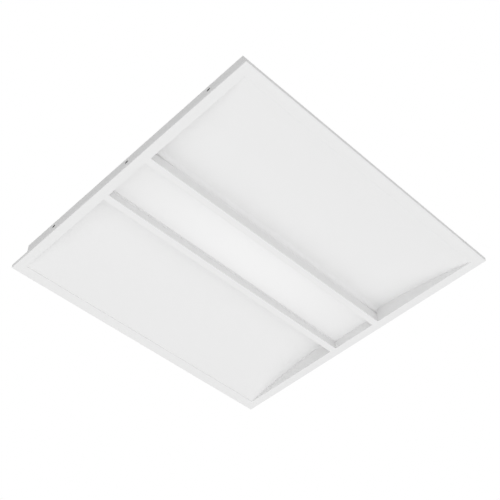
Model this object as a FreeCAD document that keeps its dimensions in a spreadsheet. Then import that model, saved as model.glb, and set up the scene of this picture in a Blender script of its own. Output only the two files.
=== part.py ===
"""Recessed troffer light for one 600 mm ceiling tile.

Frame: X runs along the lens, Y across it, Z is up. The origin is the middle of the
rim's underside, which lies on the ceiling grid. Millimetres.
"""
import FreeCAD, Part
import math
import os

import Sketcher
from FreeCAD import Vector

DIMENSIONS = {
    # square face frame
    "face_size": 595.0,
    "frame_sheet": 0.8,
    "frame_lip": 7.0,
    "frame_bend": 1.2,
    # body that stands on the frame
    "end_overhang": 13.0,
    "side_overhang": 20.5,
    "body_height": 52.0,
    "body_sheet": 0.8,
    "body_bend": 1.6,
    "side_flange": 12.0,
    "cap_foot": 7.5,
    "cap_flange": 12.5,
    "cap_screw_inset": 127.0,
    "slot_spacing": 200.0,
    "slot_drop": 10.0,
    "slot_length": 8.0,
    "slot_width": 5.0,
    "bead_length": 440.0,
    "bead_width": 14.0,
    "bead_height": 2.5,
    "bead_side": 130.0,
    # inner end walls
    "end_gap": 4.5,
    "cheek_sheet": 0.8,
    "cheek_low_edge": 15.0,
    "cheek_over_wing": 12.0,
    # wings
    "wing_sheet": 0.6,
    "wing_rise": 30.0,
    "wing_bulge": 4.5,
    "wing_cove": 8.0,
    "wing_lap": 7.0,
    "wing_outer_flange": 9.0,
    "wing_end_gap": 0.3,
    # lens rails and lens
    "rail_gap": 93.0,
    "rail_width": 14.0,
    "rail_sheet": 0.8,
    "rail_bend": 0.6,
    "rail_top_flange": 12.0,
    "ledge_width": 2.5,
    "lens_depth": 17.0,
    "lens_sheet": 2.0,
    "lens_gap": 0.7,
    # light engine
    "tray_width": 80.0,
    "tray_foot": 11.0,
    "tray_drop": 5.2,
    "tray_sheet": 1.0,
    "tray_end_gap": 10.0,
    "tray_screw_inset": 40.0,
    "board_width": 40.0,
    "board_sheet": 1.6,
    "board_split": 28.0,
    "board_end_gap": 6.0,
    "chip_size": 3.0,
    "chip_height": 0.7,
    "chips_in_row": 12,
    "chip_row_spacing": 22.0,
    "chip_end_margin": 16.0,
    "connector_length": 12.0,
    "connector_width": 11.0,
    "connector_height": 4.0,
    "board_screw_inset": 7.0,
    # lead hole through tray, pan and gear box, and its grommet
    "lead_hole_radius": 6.5,
    "lead_bore_radius": 4.8,
    "lead_rim_radius": 8.5,
    "lead_rim_sheet": 1.5,
    # gear box
    "box_length": 360.0,
    "box_width": 120.0,
    "box_height": 34.0,
    "box_sheet": 0.8,
    "box_corner": 2.0,
    "box_rivet_inset": 12.0,
    "cover_sheet": 0.8,
    "cover_skirt": 10.0,
    "cover_gap": 0.4,
    "hinge_out": 3.5,
    "hinge_down": 4.0,
    "hinge_ear_radius": 3.0,
    "hinge_ear_inset": 60.0,
    "hinge_ear_sheet": 1.2,
    "hinge_ear_gap": 0.4,
    "hinge_pin_radius": 1.5,
    "hinge_pin_out": 0.5,
    "hinge_running_gap": 0.08,
    "lock_inset": 8.0,
    "lock_shank_radius": 3.0,
    "lock_head_radius": 7.0,
    "lock_head_height": 2.0,
    "lock_reach": 8.0,
    "lock_tongue_width": 4.0,
    "lock_tongue_sheet": 1.5,
    "lock_drop": 3.0,
    "lock_slot_half": 8.0,
    "lock_slot_play": 0.5,
    "lock_key_length": 11.2,
    "lock_key_width": 1.2,
    # driver
    "driver_front_gap": 20.0,
    "driver_rear_gap": 70.0,
    "driver_side": -30.0,
    "driver_width": 30.0,
    "driver_height": 21.0,
    "driver_foot": 12.0,
    "driver_round": 1.5,
    "driver_terminal_length": 8.0,
    "driver_terminal_width": 22.0,
    "driver_terminal_height": 11.0,
    "driver_terminal_lift": 7.0,
    # mains terminal
    "terminal_inset": 42.0,
    "terminal_y": 30.0,
    "terminal_length": 20.0,
    "terminal_height": 15.0,
    "terminal_wall": 0.8,
    "pole_pitch": 6.5,
    "wire_port_radius": 1.6,
    "wire_port_depth": 6.0,
    "wire_port_height": 5.0,
    "lever_width": 4.9,
    "lever_sheet": 2.0,
    "lever_length": 12.0,
    "lever_boss_radius": 1.8,
    "lever_pivot_inset": 3.0,
    "lever_pin_radius": 0.6,
    "lever_gap": 0.3,
    "lever_running_gap": 0.05,
    # cable entry
    "cable_radius": 4.5,
    "entry_lift": 9.0,
    "entry_hole_radius": 6.5,
    "entry_rim_radius": 8.5,
    "entry_rim_sheet": 2.0,
    "entry_neck": 3.0,
    "clamp_inset": 16.0,
    "clamp_width": 8.0,
    "clamp_foot": 8.0,
    "clamp_play": 0.3,
    # earth stud
    "stud_offset": 42.0,
    "stud_y": 46.0,
    "stud_radius": 2.0,
    "stud_height": 12.0,
    "nut_flats": 7.0,
    "nut_height": 3.2,
    "tag_radius": 3.8,
    "tag_length": 9.0,
    "tag_barrel": 4.0,
    "tag_barrel_width": 3.4,
    "tag_barrel_height": 2.8,
    "nut_gap": 0.05,
    # leads
    "lead_radius": 1.3,
    "lead_bend": 7.0,
    "lead_spacing": 4.4,
    "mains_lead_rise": 20.0,
    "earth_lead_out": 10.0,
    "earth_lead_in": 7.0,
    # suspension straps
    "strap_inset_x": 49.5,
    "strap_inset_y": 72.0,
    "strap_width": 16.0,
    "strap_sheet": 1.2,
    "strap_rise": 10.0,
    "strap_span": 28.0,
    "strap_foot": 12.0,
    "strap_hole_radius": 3.25,
    # small parts in the gear box stand on sheet of one gauge, so one screw fits them all
    "plate_sheet": 1.0,
    # fasteners
    "screw_radius": 1.5,
    "screw_flats": 5.5,
    "screw_head_height": 1.8,
    "screw_length": 4.0,
    "rivet_radius": 1.6,
    "rivet_head_radius": 3.2,
    "rivet_head_height": 1.0,
    "hole_gap": 0.1,
}

SIDES = {"left": -1, "right": 1}
ENDS = {"front": -1, "rear": 1}
BOTH = (-1, 1)
ROW_OF_THREE = (-1, 0, 1)
SHANK_SIDES = 6  # shanks of small fasteners and their holes are drawn six-sided
ROUND_SIDES = 8  # wire ports and rivet heads are drawn eight-sided
PRESS_TAPER = 45  # degrees, the slope of a pressed bead's sides
SMALLEST_CUT = 1e-6  # cubic millimetres
SAME_PLACE = 0.02  # millimetres, how near an edge's middle is to the place asked for

# places that several pieces share, as expressions on the sheet
FACE = "(dims.face_size/2)"
BODY_X = "(dims.face_size/2 - dims.end_overhang)"
BODY_Y = "(dims.face_size/2 - dims.side_overhang)"
CAP_X = f"({BODY_X} - dims.body_sheet)"
WALL_Y = f"({BODY_Y} - dims.body_sheet)"
RECESS_X = f"({BODY_X} - dims.end_gap)"
FLOOR = "dims.frame_sheet"
PAN_TOP = "dims.body_height"
PAN_UNDER = "(dims.body_height - dims.body_sheet)"
RAIL_IN = "(dims.rail_gap/2)"
RAIL_OUT = "(dims.rail_gap/2 + dims.rail_width)"
TRAY_X = f"({RECESS_X} - dims.tray_end_gap)"
TRAY_UNDER = f"({PAN_UNDER} - dims.tray_drop)"
BOARD_UNDER = f"({TRAY_UNDER} - dims.board_sheet)"
BOARD_START = "(dims.board_split/2)"
BOARD_END = f"({TRAY_X} - dims.board_end_gap)"
BOX_X = "(dims.box_length/2)"
BOX_Y = "(dims.box_width/2)"
BOX_FLOOR = "(dims.body_height + dims.box_sheet)"
BOX_TOP = "(dims.body_height + dims.box_height)"
HINGE_Y = f"({BOX_Y} + dims.hinge_out)"
HINGE_Z = f"({BOX_TOP} - dims.hinge_down)"
LOCK_Y = f"(-1*({BOX_Y} - dims.lock_inset))"
TERMINAL_X = f"({BOX_X} - dims.terminal_inset)"
LEVER_PIVOT_X = f"({TERMINAL_X} + dims.terminal_length/2 - dims.lever_pivot_inset)"
LEVER_PIVOT_Z = f"({BOX_FLOOR} + dims.terminal_height - dims.lever_boss_radius)"
ENTRY_Z = f"({BOX_FLOOR} + dims.entry_lift)"
DRIVER_START = f"(dims.driver_front_gap - {BOX_X})"
DRIVER_STOP = f"({BOX_X} - dims.driver_rear_gap)"
PLATE_TOP = f"({BOX_FLOOR} + dims.plate_sheet)"
STUD_X = f"({TERMINAL_X} - dims.stud_offset)"
HINGE_EAR_X = f"({BOX_X} - dims.hinge_ear_inset)"
WIRE_PORT_Z = f"({BOX_FLOOR} + dims.wire_port_height)"
STRAP_X = f"({BODY_X} - dims.strap_inset_x)"
STRAP_Y = f"({BODY_Y} - dims.strap_inset_y)"

TRAY_SCREWS = [(f"{i}*({TRAY_X} - dims.tray_screw_inset)", f"{j}*(dims.tray_width/2 + dims.tray_foot/2)")
               for i in BOTH for j in BOTH]
BOARD_SCREW_X = (f"({BOARD_START} + dims.connector_length + dims.board_screw_inset)",
                 f"({BOARD_END} - dims.board_screw_inset)")
BOARD_SCREWS = [(f"{i}*{x}", "0") for i in BOTH for x in BOARD_SCREW_X]
CAP_SCREWS = [(f"{i}*({BODY_X} - dims.cap_flange/2)", f"{j}*({BODY_Y} - dims.cap_screw_inset)")
              for i in BOTH for j in BOTH]
BOX_RIVETS = [(f"{i}*({BOX_X} - dims.box_rivet_inset)", "0") for i in BOTH]
CLAMP_X = f"({BOX_X} - dims.clamp_inset)"
CLAMP_REACH = "(dims.cable_radius + dims.clamp_play + dims.plate_sheet + dims.clamp_foot/2)"
DRIVER_SCREWS = [(f"({DRIVER_START} - dims.driver_foot/2)", "dims.driver_side"),
                 (f"({DRIVER_STOP} + dims.driver_foot/2)", "dims.driver_side")]
CLAMP_SCREWS = [(CLAMP_X, f"(dims.terminal_y + {j}*{CLAMP_REACH})") for j in BOTH]

os.makedirs("parts", exist_ok=True)
document = FreeCAD.newDocument("recessed_troffer")
sheet = document.addObject("Spreadsheet::Sheet", "dims")
for row, (alias, value) in enumerate(DIMENSIONS.items(), start=1):
    sheet.set(f"A{row}", alias.replace("_", " "))
    sheet.set(f"B{row}", str(value))
    sheet.setAlias(f"B{row}", alias)
document.recompute()

nodes = []


def number(expression):
    """The value of an expression on the sheet."""
    value = sheet.evalExpression(str(expression).replace("dims.", ""))
    return float(getattr(value, "Value", value))


# ---------------------------------------------------------------- sketches and features
def new_body(name):
    """A sub-part made by sketches and features."""
    body = document.addObject("PartDesign::Body", name)
    body.Label = name
    nodes.append(body)
    return body


def origin_feature(body, role):
    """One of the body's own origin planes or axes."""
    return next(item for item in body.Origin.OriginFeatures if item.Role == role)


def new_sketch(body, plane, offset="0"):
    """An empty sketch on XY, XZ or YZ, moved along that plane's normal."""
    sketch = body.newObject("Sketcher::SketchObject", f"{body.Name}_sketch")
    sketch.AttachmentSupport = [(origin_feature(body, f"{plane}_Plane"), "")]
    sketch.MapMode = "FlatFace"
    sketch.setExpression("AttachmentOffset.Base.z", offset)
    return sketch


def bind(sketch, constraint, expression):
    """Add a constraint whose value follows the sheet."""
    index = sketch.addConstraint(constraint)
    sketch.setExpression(f"Constraints[{index}]", expression)


def pin_vertex(sketch, edge, vertex, place):
    """Hold a vertex at a place given by two expressions."""
    for kind, expression in zip(("DistanceX", "DistanceY"), place):
        constraint = Sketcher.Constraint(kind, -1, 1, edge, vertex, number(expression))
        bind(sketch, constraint, expression)


def pin_arc_centre(sketch, edge, start, end, rise):
    """Fix an arc between two held points, by the coordinate of its centre that moves most."""
    (x0, y0), (x1, y1) = start, end
    across, along = f"(({x1}) - ({x0}))", f"(({y1}) - ({y0}))"
    chord = f"sqrt({across}^2 + {along}^2)"
    offset = f"({chord}/(8*({rise})) - ({rise})/(2*{chord}))"
    if abs(number(across)) > abs(number(along)):
        kind, place = "DistanceY", f"(({y0}) + ({y1}))/2 - {across}*{offset}"
    else:
        kind, place = "DistanceX", f"(({x0}) + ({x1}))/2 + {along}*{offset}"
    bind(sketch, Sketcher.Constraint(kind, -1, 1, edge, 3, number(place)), place)


def outline(sketch, corners, bulges=None):
    """A closed outline; bulges gives the rise of the arcs, to the left of their edge."""
    bulges = bulges or {}
    points = [Vector(number(x), number(y), 0) for x, y in corners]
    edges = []
    for index, start in enumerate(points):
        end = points[(index + 1) % len(points)]
        if index in bulges:
            chord = end - start
            left = Vector(-chord.y, chord.x, 0).normalize()
            middle = (start + end) / 2 + left * number(bulges[index])
            edges.append(sketch.addGeometry(Part.Arc(start, middle, end)))
        else:
            edges.append(sketch.addGeometry(Part.LineSegment(start, end)))
    starts = [1 if (sketch.getPoint(edge, 1) - point).Length < 1e-6 else 2
              for edge, point in zip(edges, points)]
    for index, edge in enumerate(edges):
        following = (index + 1) % len(edges)
        sketch.addConstraint(Sketcher.Constraint(
            "Coincident", edge, 3 - starts[index], edges[following], starts[following]))
        pin_vertex(sketch, edge, starts[index], corners[index])
    for index, rise in bulges.items():
        pin_arc_centre(sketch, edges[index], corners[index], corners[(index + 1) % len(corners)], rise)


def rectangle(sketch, x0, x1, y0, y1):
    """A rectangle between two pairs of expressions."""
    outline(sketch, [(x0, y0), (x1, y0), (x1, y1), (x0, y1)])


def circles(sketch, centres, radius):
    """One circle at each place."""
    for x, y in centres:
        centre = Vector(number(x), number(y), 0)
        edge = sketch.addGeometry(Part.Circle(centre, Vector(0, 0, 1), number(radius)))
        pin_vertex(sketch, edge, 3, (x, y))
        bind(sketch, Sketcher.Constraint("Radius", edge, number(radius)), radius)


def straight_slot(sketch, x, y, length, width):
    """A slot with round ends, its length along the sketch's first axis."""
    reach = f"({length}/2 - {width}/2)"
    half = f"({width}/2)"
    corners = [(f"{x} - {reach}", f"{y} - {half}"), (f"{x} + {reach}", f"{y} - {half}"),
               (f"{x} + {reach}", f"{y} + {half}"), (f"{x} - {reach}", f"{y} + {half}")]
    outline(sketch, corners, {1: f"-1*{half}", 3: f"-1*{half}"})


def polygons(sketch, places, corner_radius, sides):
    """One regular polygon at each place, with two corners on the sketch's first axis."""
    turns = [2 * math.pi * step / sides for step in range(sides)]
    rays = [[f"{corner_radius}*{part:.6f}" for part in (math.cos(turn), math.sin(turn))] for turn in turns]
    for x, y in places:
        outline(sketch, [(f"{x} + {across}", f"{y} + {along}") for across, along in rays])


def hexagons(sketch, places, flats):
    """One hexagon at each place."""
    polygons(sketch, places, f"({flats}/sqrt(3))", 6)


def pad(body, sketch, length, midplane=False, backwards=False, taper=0):
    """Extrude a sketch and join it to the body."""
    feature = body.newObject("PartDesign::Pad", f"{body.Name}_pad")
    feature.Profile = sketch
    feature.setExpression("Length", length)
    feature.Midplane = midplane
    feature.Reversed = backwards
    feature.TaperAngle = taper
    document.recompute()
    return feature


def cut(body, sketch, depth, upwards=False, taper=0):
    """Cut a sketch out of the body, half of the depth to each side of its plane or all of it upwards."""
    before = body.Shape.Volume
    feature = body.newObject("PartDesign::Pocket", f"{body.Name}_cut")
    feature.Profile = sketch
    feature.setExpression("Length", depth)
    feature.Midplane = not upwards
    feature.Reversed = upwards
    feature.TaperAngle = taper
    document.recompute()
    if not body.Shape.Volume < before - SMALLEST_CUT:
        raise RuntimeError(f"a cut in {body.Label} removes nothing")


def mirror(body, plane):
    """Repeat the whole body on the other side of an origin plane."""
    feature = body.newObject("PartDesign::Mirrored", f"{body.Name}_mirror")
    feature.TransformMode = "Whole shape"
    feature.MirrorPlane = (origin_feature(body, f"{plane}_Plane"), [""])
    body.Tip = feature
    document.recompute()


def round_edges(body, radius, **middle):
    """Round the straight or round edges whose middle is at the given places, on either side."""
    base = body.Tip
    wanted = {axis: number(expression) for axis, expression in middle.items()}
    names = []
    for index, edge in enumerate(base.Shape.Edges, start=1):
        centre = edge.CenterOfMass
        if all(abs(abs(getattr(centre, axis)) - abs(place)) < SAME_PLACE for axis, place in wanted.items()):
            names.append(f"Edge{index}")
    if not names:
        raise RuntimeError(f"no edge to round in {body.Label}")
    feature = body.newObject("PartDesign::Fillet", f"{body.Name}_fillet")
    feature.Base = (base, names)
    feature.setExpression("Radius", radius)
    document.recompute()


def folded_sheet(name, plane, corners, length, bulges=None):
    """A bent sheet: its edge-on outline, extruded to both sides of the plane."""
    body = new_body(name)
    sketch = new_sketch(body, plane)
    outline(sketch, corners, bulges)
    pad(body, sketch, length, midplane=True)
    return body


def punch(body, centres, radius, level, sides=None):
    """Vertical holes through the sheet at one level: round, or with as many sides as a shank has."""
    sketch = new_sketch(body, "XY", level)
    if sides:
        polygons(sketch, centres, radius, sides)
    else:
        circles(sketch, centres, radius)
    cut(body, sketch, "4*dims.body_sheet")


def punch_for_shanks(body, centres, shank_radius, level):
    """Holes for small screws or rivets."""
    punch(body, centres, f"({shank_radius} + dims.hole_gap)", level, SHANK_SIDES)


def screws(name, places, seat, length="dims.screw_length", head_down=False):
    """Identical hexagon-headed screws, each a separate solid with its head seated on one level."""
    body = new_body(name)
    heads = new_sketch(body, "XY", seat)
    hexagons(heads, places, "dims.screw_flats")
    pad(body, heads, "dims.screw_head_height", backwards=head_down)
    shanks = new_sketch(body, "XY", seat)
    polygons(shanks, places, "dims.screw_radius", SHANK_SIDES)
    pad(body, shanks, length, backwards=not head_down)


# ---------------------------------------------------------------- frame and body
def face_frame():
    """Square trim with a flat underside and an upturned outer edge."""
    body = new_body("face_frame")
    flat = new_sketch(body, "XY")
    rectangle(flat, f"-1*{FACE}", FACE, f"-1*{FACE}", FACE)
    rectangle(flat, f"-1*{RECESS_X}", RECESS_X, f"-1*{WALL_Y}", WALL_Y)
    pad(body, flat, "dims.frame_sheet")
    inner = f"({FACE} - dims.frame_sheet)"
    lip = new_sketch(body, "XY")
    rectangle(lip, f"-1*{FACE}", FACE, f"-1*{FACE}", FACE)
    rectangle(lip, f"-1*{inner}", inner, f"-1*{inner}", inner)
    pad(body, lip, "dims.frame_lip")
    round_edges(body, "dims.frame_bend", x=FACE, y="0", z="0")
    round_edges(body, "dims.frame_bend", x="0", y=FACE, z="0")


def housing_pan():
    """Top sheet with two side walls, whose feet are folded outwards onto the frame."""
    foot_y = f"({BODY_Y} + dims.side_flange)"
    foot_top = f"({FLOOR} + dims.body_sheet)"
    corners = [
        (foot_y, FLOOR), (foot_y, foot_top), (BODY_Y, foot_top), (BODY_Y, PAN_TOP),
        (f"-1*{BODY_Y}", PAN_TOP), (f"-1*{BODY_Y}", foot_top), (f"-1*{foot_y}", foot_top),
        (f"-1*{foot_y}", FLOOR), (f"-1*{WALL_Y}", FLOOR), (f"-1*{WALL_Y}", PAN_UNDER),
        (WALL_Y, PAN_UNDER), (WALL_Y, FLOOR)]
    body = folded_sheet("housing_pan", "YZ", corners, f"2*{CAP_X}")
    round_edges(body, "dims.body_bend", y=BODY_Y, z=PAN_TOP)
    round_edges(body, "dims.body_bend - dims.body_sheet", y=WALL_Y, z=PAN_UNDER)
    level = f"({PAN_TOP} - dims.body_sheet/2)"
    punch(body, [("0", "0")], "dims.lead_hole_radius", level)
    punch_for_shanks(body, TRAY_SCREWS, "dims.screw_radius", level)
    punch_for_shanks(body, BOX_RIVETS, "dims.rivet_radius", level)
    punch_for_shanks(body, CAP_SCREWS, "dims.screw_radius", level)
    press_beads(body)


def press_beads(body):
    """Two beads pressed up out of the pan's top to stiffen it, hollow below."""
    half_length, half_width = "(dims.bead_length/2)", "(dims.bead_width/2)"
    for level, raised in ((PAN_TOP, True), (PAN_UNDER, False)):
        sketch = new_sketch(body, "XY", level)
        for sign in BOTH:
            rectangle(sketch, f"-1*{half_length}", half_length,
                      f"{sign}*dims.bead_side - {half_width}", f"{sign}*dims.bead_side + {half_width}")
        if raised:
            pad(body, sketch, "dims.bead_height", taper=-PRESS_TAPER)
        else:
            cut(body, sketch, "dims.bead_height", upwards=True, taper=-PRESS_TAPER)


def end_cap(end, sign):
    """Outer end wall with a foot on the frame, a top flange on the pan and three slots."""
    foot_x = f"({BODY_X} + dims.cap_foot)"
    foot_top = f"({FLOOR} + dims.body_sheet)"
    top = f"({PAN_TOP} + dims.body_sheet)"
    flange_x = f"({BODY_X} - dims.cap_flange)"
    corners = [(f"{sign}*{x}", z) for x, z in (
        (CAP_X, FLOOR), (foot_x, FLOOR), (foot_x, foot_top), (BODY_X, foot_top),
        (BODY_X, top), (flange_x, top), (flange_x, PAN_TOP), (CAP_X, PAN_TOP))]
    body = folded_sheet(f"end_cap_{end}", "XZ", corners, f"2*{BODY_Y}")
    round_edges(body, "dims.body_bend", x=BODY_X, z=top)
    slots = new_sketch(body, "YZ", f"{sign}*({BODY_X} - dims.body_sheet/2)")
    slot_level = "(dims.body_height - dims.slot_drop)"
    for step in ROW_OF_THREE:
        straight_slot(slots, f"{step}*dims.slot_spacing", slot_level, "dims.slot_length", "dims.slot_width")
    cut(body, slots, "4*dims.body_sheet")
    own_screws = [(x, y) for x, y in CAP_SCREWS if number(x) * sign > 0]
    punch_for_shanks(body, own_screws, "dims.screw_radius", f"({PAN_TOP} + dims.body_sheet/2)")


def end_cheek(end, sign):
    """Inner end wall that closes the wings and the lens chamber."""
    body = new_body(f"end_cheek_{end}")
    side = f"({WALL_Y} - dims.wing_end_gap)"
    over_rail = f"({RAIL_OUT} + dims.wing_sheet)"
    over_wing = "(dims.wing_rise + dims.cheek_over_wing)"
    half = [(side, FLOOR), (side, "dims.cheek_low_edge"), (over_rail, over_wing), (RAIL_OUT, PAN_UNDER)]
    corners = half + [(f"-1*{y}", z) for y, z in reversed(half)]
    wall = new_sketch(body, "YZ", f"{sign}*({RECESS_X} + dims.cheek_sheet/2)")
    outline(wall, corners)
    pad(body, wall, "dims.cheek_sheet", midplane=True)
    for low, high, reach in ((FLOOR, f"{FLOOR} + dims.cheek_sheet", side),
                             (f"{PAN_UNDER} - dims.cheek_sheet", PAN_UNDER, RAIL_IN)):
        flange = new_sketch(body, "XZ")
        rectangle(flange, f"{sign}*({RECESS_X} + dims.cheek_sheet/2)", f"{sign}*{CAP_X}", low, high)
        pad(body, flange, f"2*{reach}", midplane=True)


def wing_reflector(side, sign):
    """Curved white reflector: a flange on the side wall, the wing, a cove and a lap down the lens rail."""
    gauge = "dims.wing_sheet"
    flange_y = f"({WALL_Y} - {gauge})"
    lap_y = f"({RAIL_OUT} + {gauge})"
    cove_y = f"({lap_y} + dims.wing_cove)"
    cove_z = "(dims.wing_rise - dims.wing_cove)"
    lap_end = f"({cove_z} - dims.wing_lap)"
    flange_top = f"{FLOOR} + dims.wing_outer_flange"
    corners = [(f"{sign}*{y}", z) for y, z in (
        (WALL_Y, FLOOR), (cove_y, "dims.wing_rise"), (lap_y, cove_z), (lap_y, lap_end), (RAIL_OUT, lap_end),
        (RAIL_OUT, cove_z), (cove_y, f"dims.wing_rise + {gauge}"), (flange_y, f"{FLOOR} + {gauge}"),
        (flange_y, flange_top), (WALL_Y, flange_top))]
    quarter_rise = "(1 - sqrt(2)/2)"
    bulges = {0: f"{-sign}*dims.wing_bulge", 6: f"{sign}*dims.wing_bulge",
              1: f"{-sign}*dims.wing_cove*{quarter_rise}",
              5: f"{sign}*(dims.wing_cove + {gauge})*{quarter_rise}"}
    folded_sheet(f"wing_reflector_{side}", "YZ", corners, f"2*({RECESS_X} - dims.wing_end_gap)", bulges)


def lens_rail(side, sign):
    """Folded channel: a ledge for the lens, a flat underside and a wall up to the pan."""
    gauge = "dims.rail_sheet"
    inner_wall = f"({RAIL_IN} + {gauge})"
    outer_wall = f"({RAIL_OUT} - {gauge})"
    flange_y = f"({RAIL_OUT} + dims.rail_top_flange)"
    ledge_y = f"({RAIL_IN} - dims.ledge_width)"
    ledge_under = f"(dims.lens_depth - {gauge})"
    corners = [(f"{sign}*{y}", z) for y, z in (
        (ledge_y, ledge_under), (RAIL_IN, ledge_under), (RAIL_IN, "0"), (RAIL_OUT, "0"),
        (RAIL_OUT, f"{PAN_UNDER} - {gauge}"), (flange_y, f"{PAN_UNDER} - {gauge}"), (flange_y, PAN_UNDER),
        (outer_wall, PAN_UNDER), (outer_wall, gauge), (inner_wall, gauge),
        (inner_wall, "dims.lens_depth"), (ledge_y, "dims.lens_depth"))]
    body = folded_sheet(f"lens_rail_{side}", "YZ", corners, f"2*{RECESS_X}")
    round_edges(body, "dims.rail_bend", y=RAIL_IN, z="0")
    round_edges(body, "dims.rail_bend", y=RAIL_OUT, z="0")


def opal_lens():
    """Flat diffuser that lies on both ledges."""
    body = new_body("opal_lens")
    sketch = new_sketch(body, "XY", "dims.lens_depth")
    half_x = f"({RECESS_X} - dims.lens_gap)"
    half_y = f"({RAIL_OUT} - dims.rail_sheet - dims.lens_gap)"
    rectangle(sketch, f"-1*{half_x}", half_x, f"-1*{half_y}", half_y)
    pad(body, sketch, "dims.lens_sheet")


# ---------------------------------------------------------------- light engine
def led_tray():
    """Shallow hat section under the pan that carries the LED boards."""
    web = "(dims.tray_width/2)"
    foot = "(dims.tray_width/2 + dims.tray_foot)"
    under, gauge = TRAY_UNDER, "dims.tray_sheet"
    foot_under = f"({PAN_UNDER} - {gauge})"
    half = [(foot, PAN_UNDER), (foot, foot_under), (web, foot_under), (web, under)]
    inner = [(f"({web} - {gauge})", f"{under} + {gauge}"), (f"({web} - {gauge})", PAN_UNDER)]
    corners = (half + [(f"-1*{y}", z) for y, z in reversed(half)]
               + [(f"-1*{y}", z) for y, z in reversed(inner)] + inner)
    body = folded_sheet("led_tray", "YZ", corners, f"2*{TRAY_X}")
    punch_for_shanks(body, TRAY_SCREWS, "dims.screw_radius", f"({PAN_UNDER} - {gauge}/2)")
    punch(body, [("0", "0")], "dims.lead_hole_radius", f"({under} + {gauge}/2)")
    punch_for_shanks(body, BOARD_SCREWS, "dims.screw_radius", f"({under} + {gauge}/2)")


def led_board(end, sign):
    """Circuit board on the underside of the tray."""
    body = new_body(f"led_board_{end}")
    sketch = new_sketch(body, "XY", BOARD_UNDER)
    rectangle(sketch, f"{sign}*{BOARD_START}", f"{sign}*{BOARD_END}",
              "-1*dims.board_width/2", "dims.board_width/2")
    pad(body, sketch, "dims.board_sheet")
    places = [(x, y) for x, y in BOARD_SCREWS if number(x) * sign > 0]
    punch_for_shanks(body, places, "dims.screw_radius", f"({BOARD_UNDER} + dims.board_sheet/2)")


def led_chips():
    """Two rows of LED packages under each board."""
    body = new_body("led_chips")
    sketch = new_sketch(body, "XY", f"({BOARD_UNDER} - dims.chip_height)")
    start = f"({BOARD_START} + dims.connector_length + dims.chip_end_margin)"
    low = "(-1*dims.chip_row_spacing/2 - dims.chip_size/2)"
    rectangle(sketch, start, f"{start} + dims.chip_size", low, f"{low} + dims.chip_size")
    chip = pad(body, sketch, "dims.chip_height")
    rows = body.newObject("PartDesign::LinearPattern", "chip_rows")
    rows.Originals = [chip]
    rows.Direction = (origin_feature(body, "X_Axis"), [""])
    rows.setExpression("Length", f"{BOARD_END} - dims.chip_end_margin - dims.chip_size - {start}")
    rows.setExpression("Occurrences", "dims.chips_in_row")
    rows.Direction2 = (origin_feature(body, "Y_Axis"), [""])
    rows.setExpression("Length2", "dims.chip_row_spacing")
    rows.Occurrences2 = 2
    body.Tip = rows
    document.recompute()
    mirror(body, "YZ")


def board_connectors():
    """Push-in connector at the inner end of each board."""
    body = new_body("board_connectors")
    sketch = new_sketch(body, "XY", BOARD_UNDER)
    for sign in BOTH:
        rectangle(sketch, f"{sign}*{BOARD_START}", f"{sign}*({BOARD_START} + dims.connector_length)",
                  "-1*dims.connector_width/2", "dims.connector_width/2")
    pad(body, sketch, "dims.connector_height", backwards=True)


# ---------------------------------------------------------------- gear box
def gear_box():
    """Open box on the pan, with hinge ears, a lock slot, a lead hole and a cable entry."""
    body = new_body("gear_box")
    base = new_sketch(body, "XY", PAN_TOP)
    rectangle(base, f"-1*{BOX_X}", BOX_X, f"-1*{BOX_Y}", BOX_Y)
    pad(body, base, "dims.box_height")
    round_edges(body, "dims.box_corner", x=BOX_X, y=BOX_Y)
    inside_x = f"({BOX_X} - dims.box_sheet)"
    inside_y = f"({BOX_Y} - dims.box_sheet)"
    hollow = new_sketch(body, "XY", BOX_TOP)
    rectangle(hollow, f"-1*{inside_x}", inside_x, f"-1*{inside_y}", inside_y)
    cut(body, hollow, "2*(dims.box_height - dims.box_sheet)")
    for sign in BOTH:
        ear = new_sketch(body, "YZ", f"{sign}*({HINGE_EAR_X} + dims.hinge_ear_sheet/2)")
        hinge_ear(ear, f"{BOX_Y} - dims.box_sheet/2", attached_below=False)
        pad(body, ear, "dims.hinge_ear_sheet", midplane=True)
    level = f"({PAN_TOP} + dims.box_sheet/2)"
    punch(body, [("0", "0")], "dims.lead_hole_radius", level)
    punch_for_shanks(body, BOX_RIVETS, "dims.rivet_radius", level)
    punch_for_shanks(body, DRIVER_SCREWS + CLAMP_SCREWS, "dims.screw_radius", level)
    entry = new_sketch(body, "YZ", f"({BOX_X} - dims.box_sheet/2)")
    circles(entry, [("dims.terminal_y", ENTRY_Z)], "dims.entry_hole_radius")
    cut(body, entry, "4*dims.box_sheet")
    lock_slot = new_sketch(body, "XZ", f"({BOX_Y} - dims.box_sheet/2)")
    tongue_top = f"({BOX_TOP} - dims.lock_drop)"
    rectangle(lock_slot, "-1*dims.lock_slot_half", "dims.lock_slot_half",
              f"{tongue_top} - dims.lock_tongue_sheet - dims.lock_slot_play",
              f"{tongue_top} + dims.lock_slot_play")
    cut(body, lock_slot, "4*dims.box_sheet")


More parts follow.
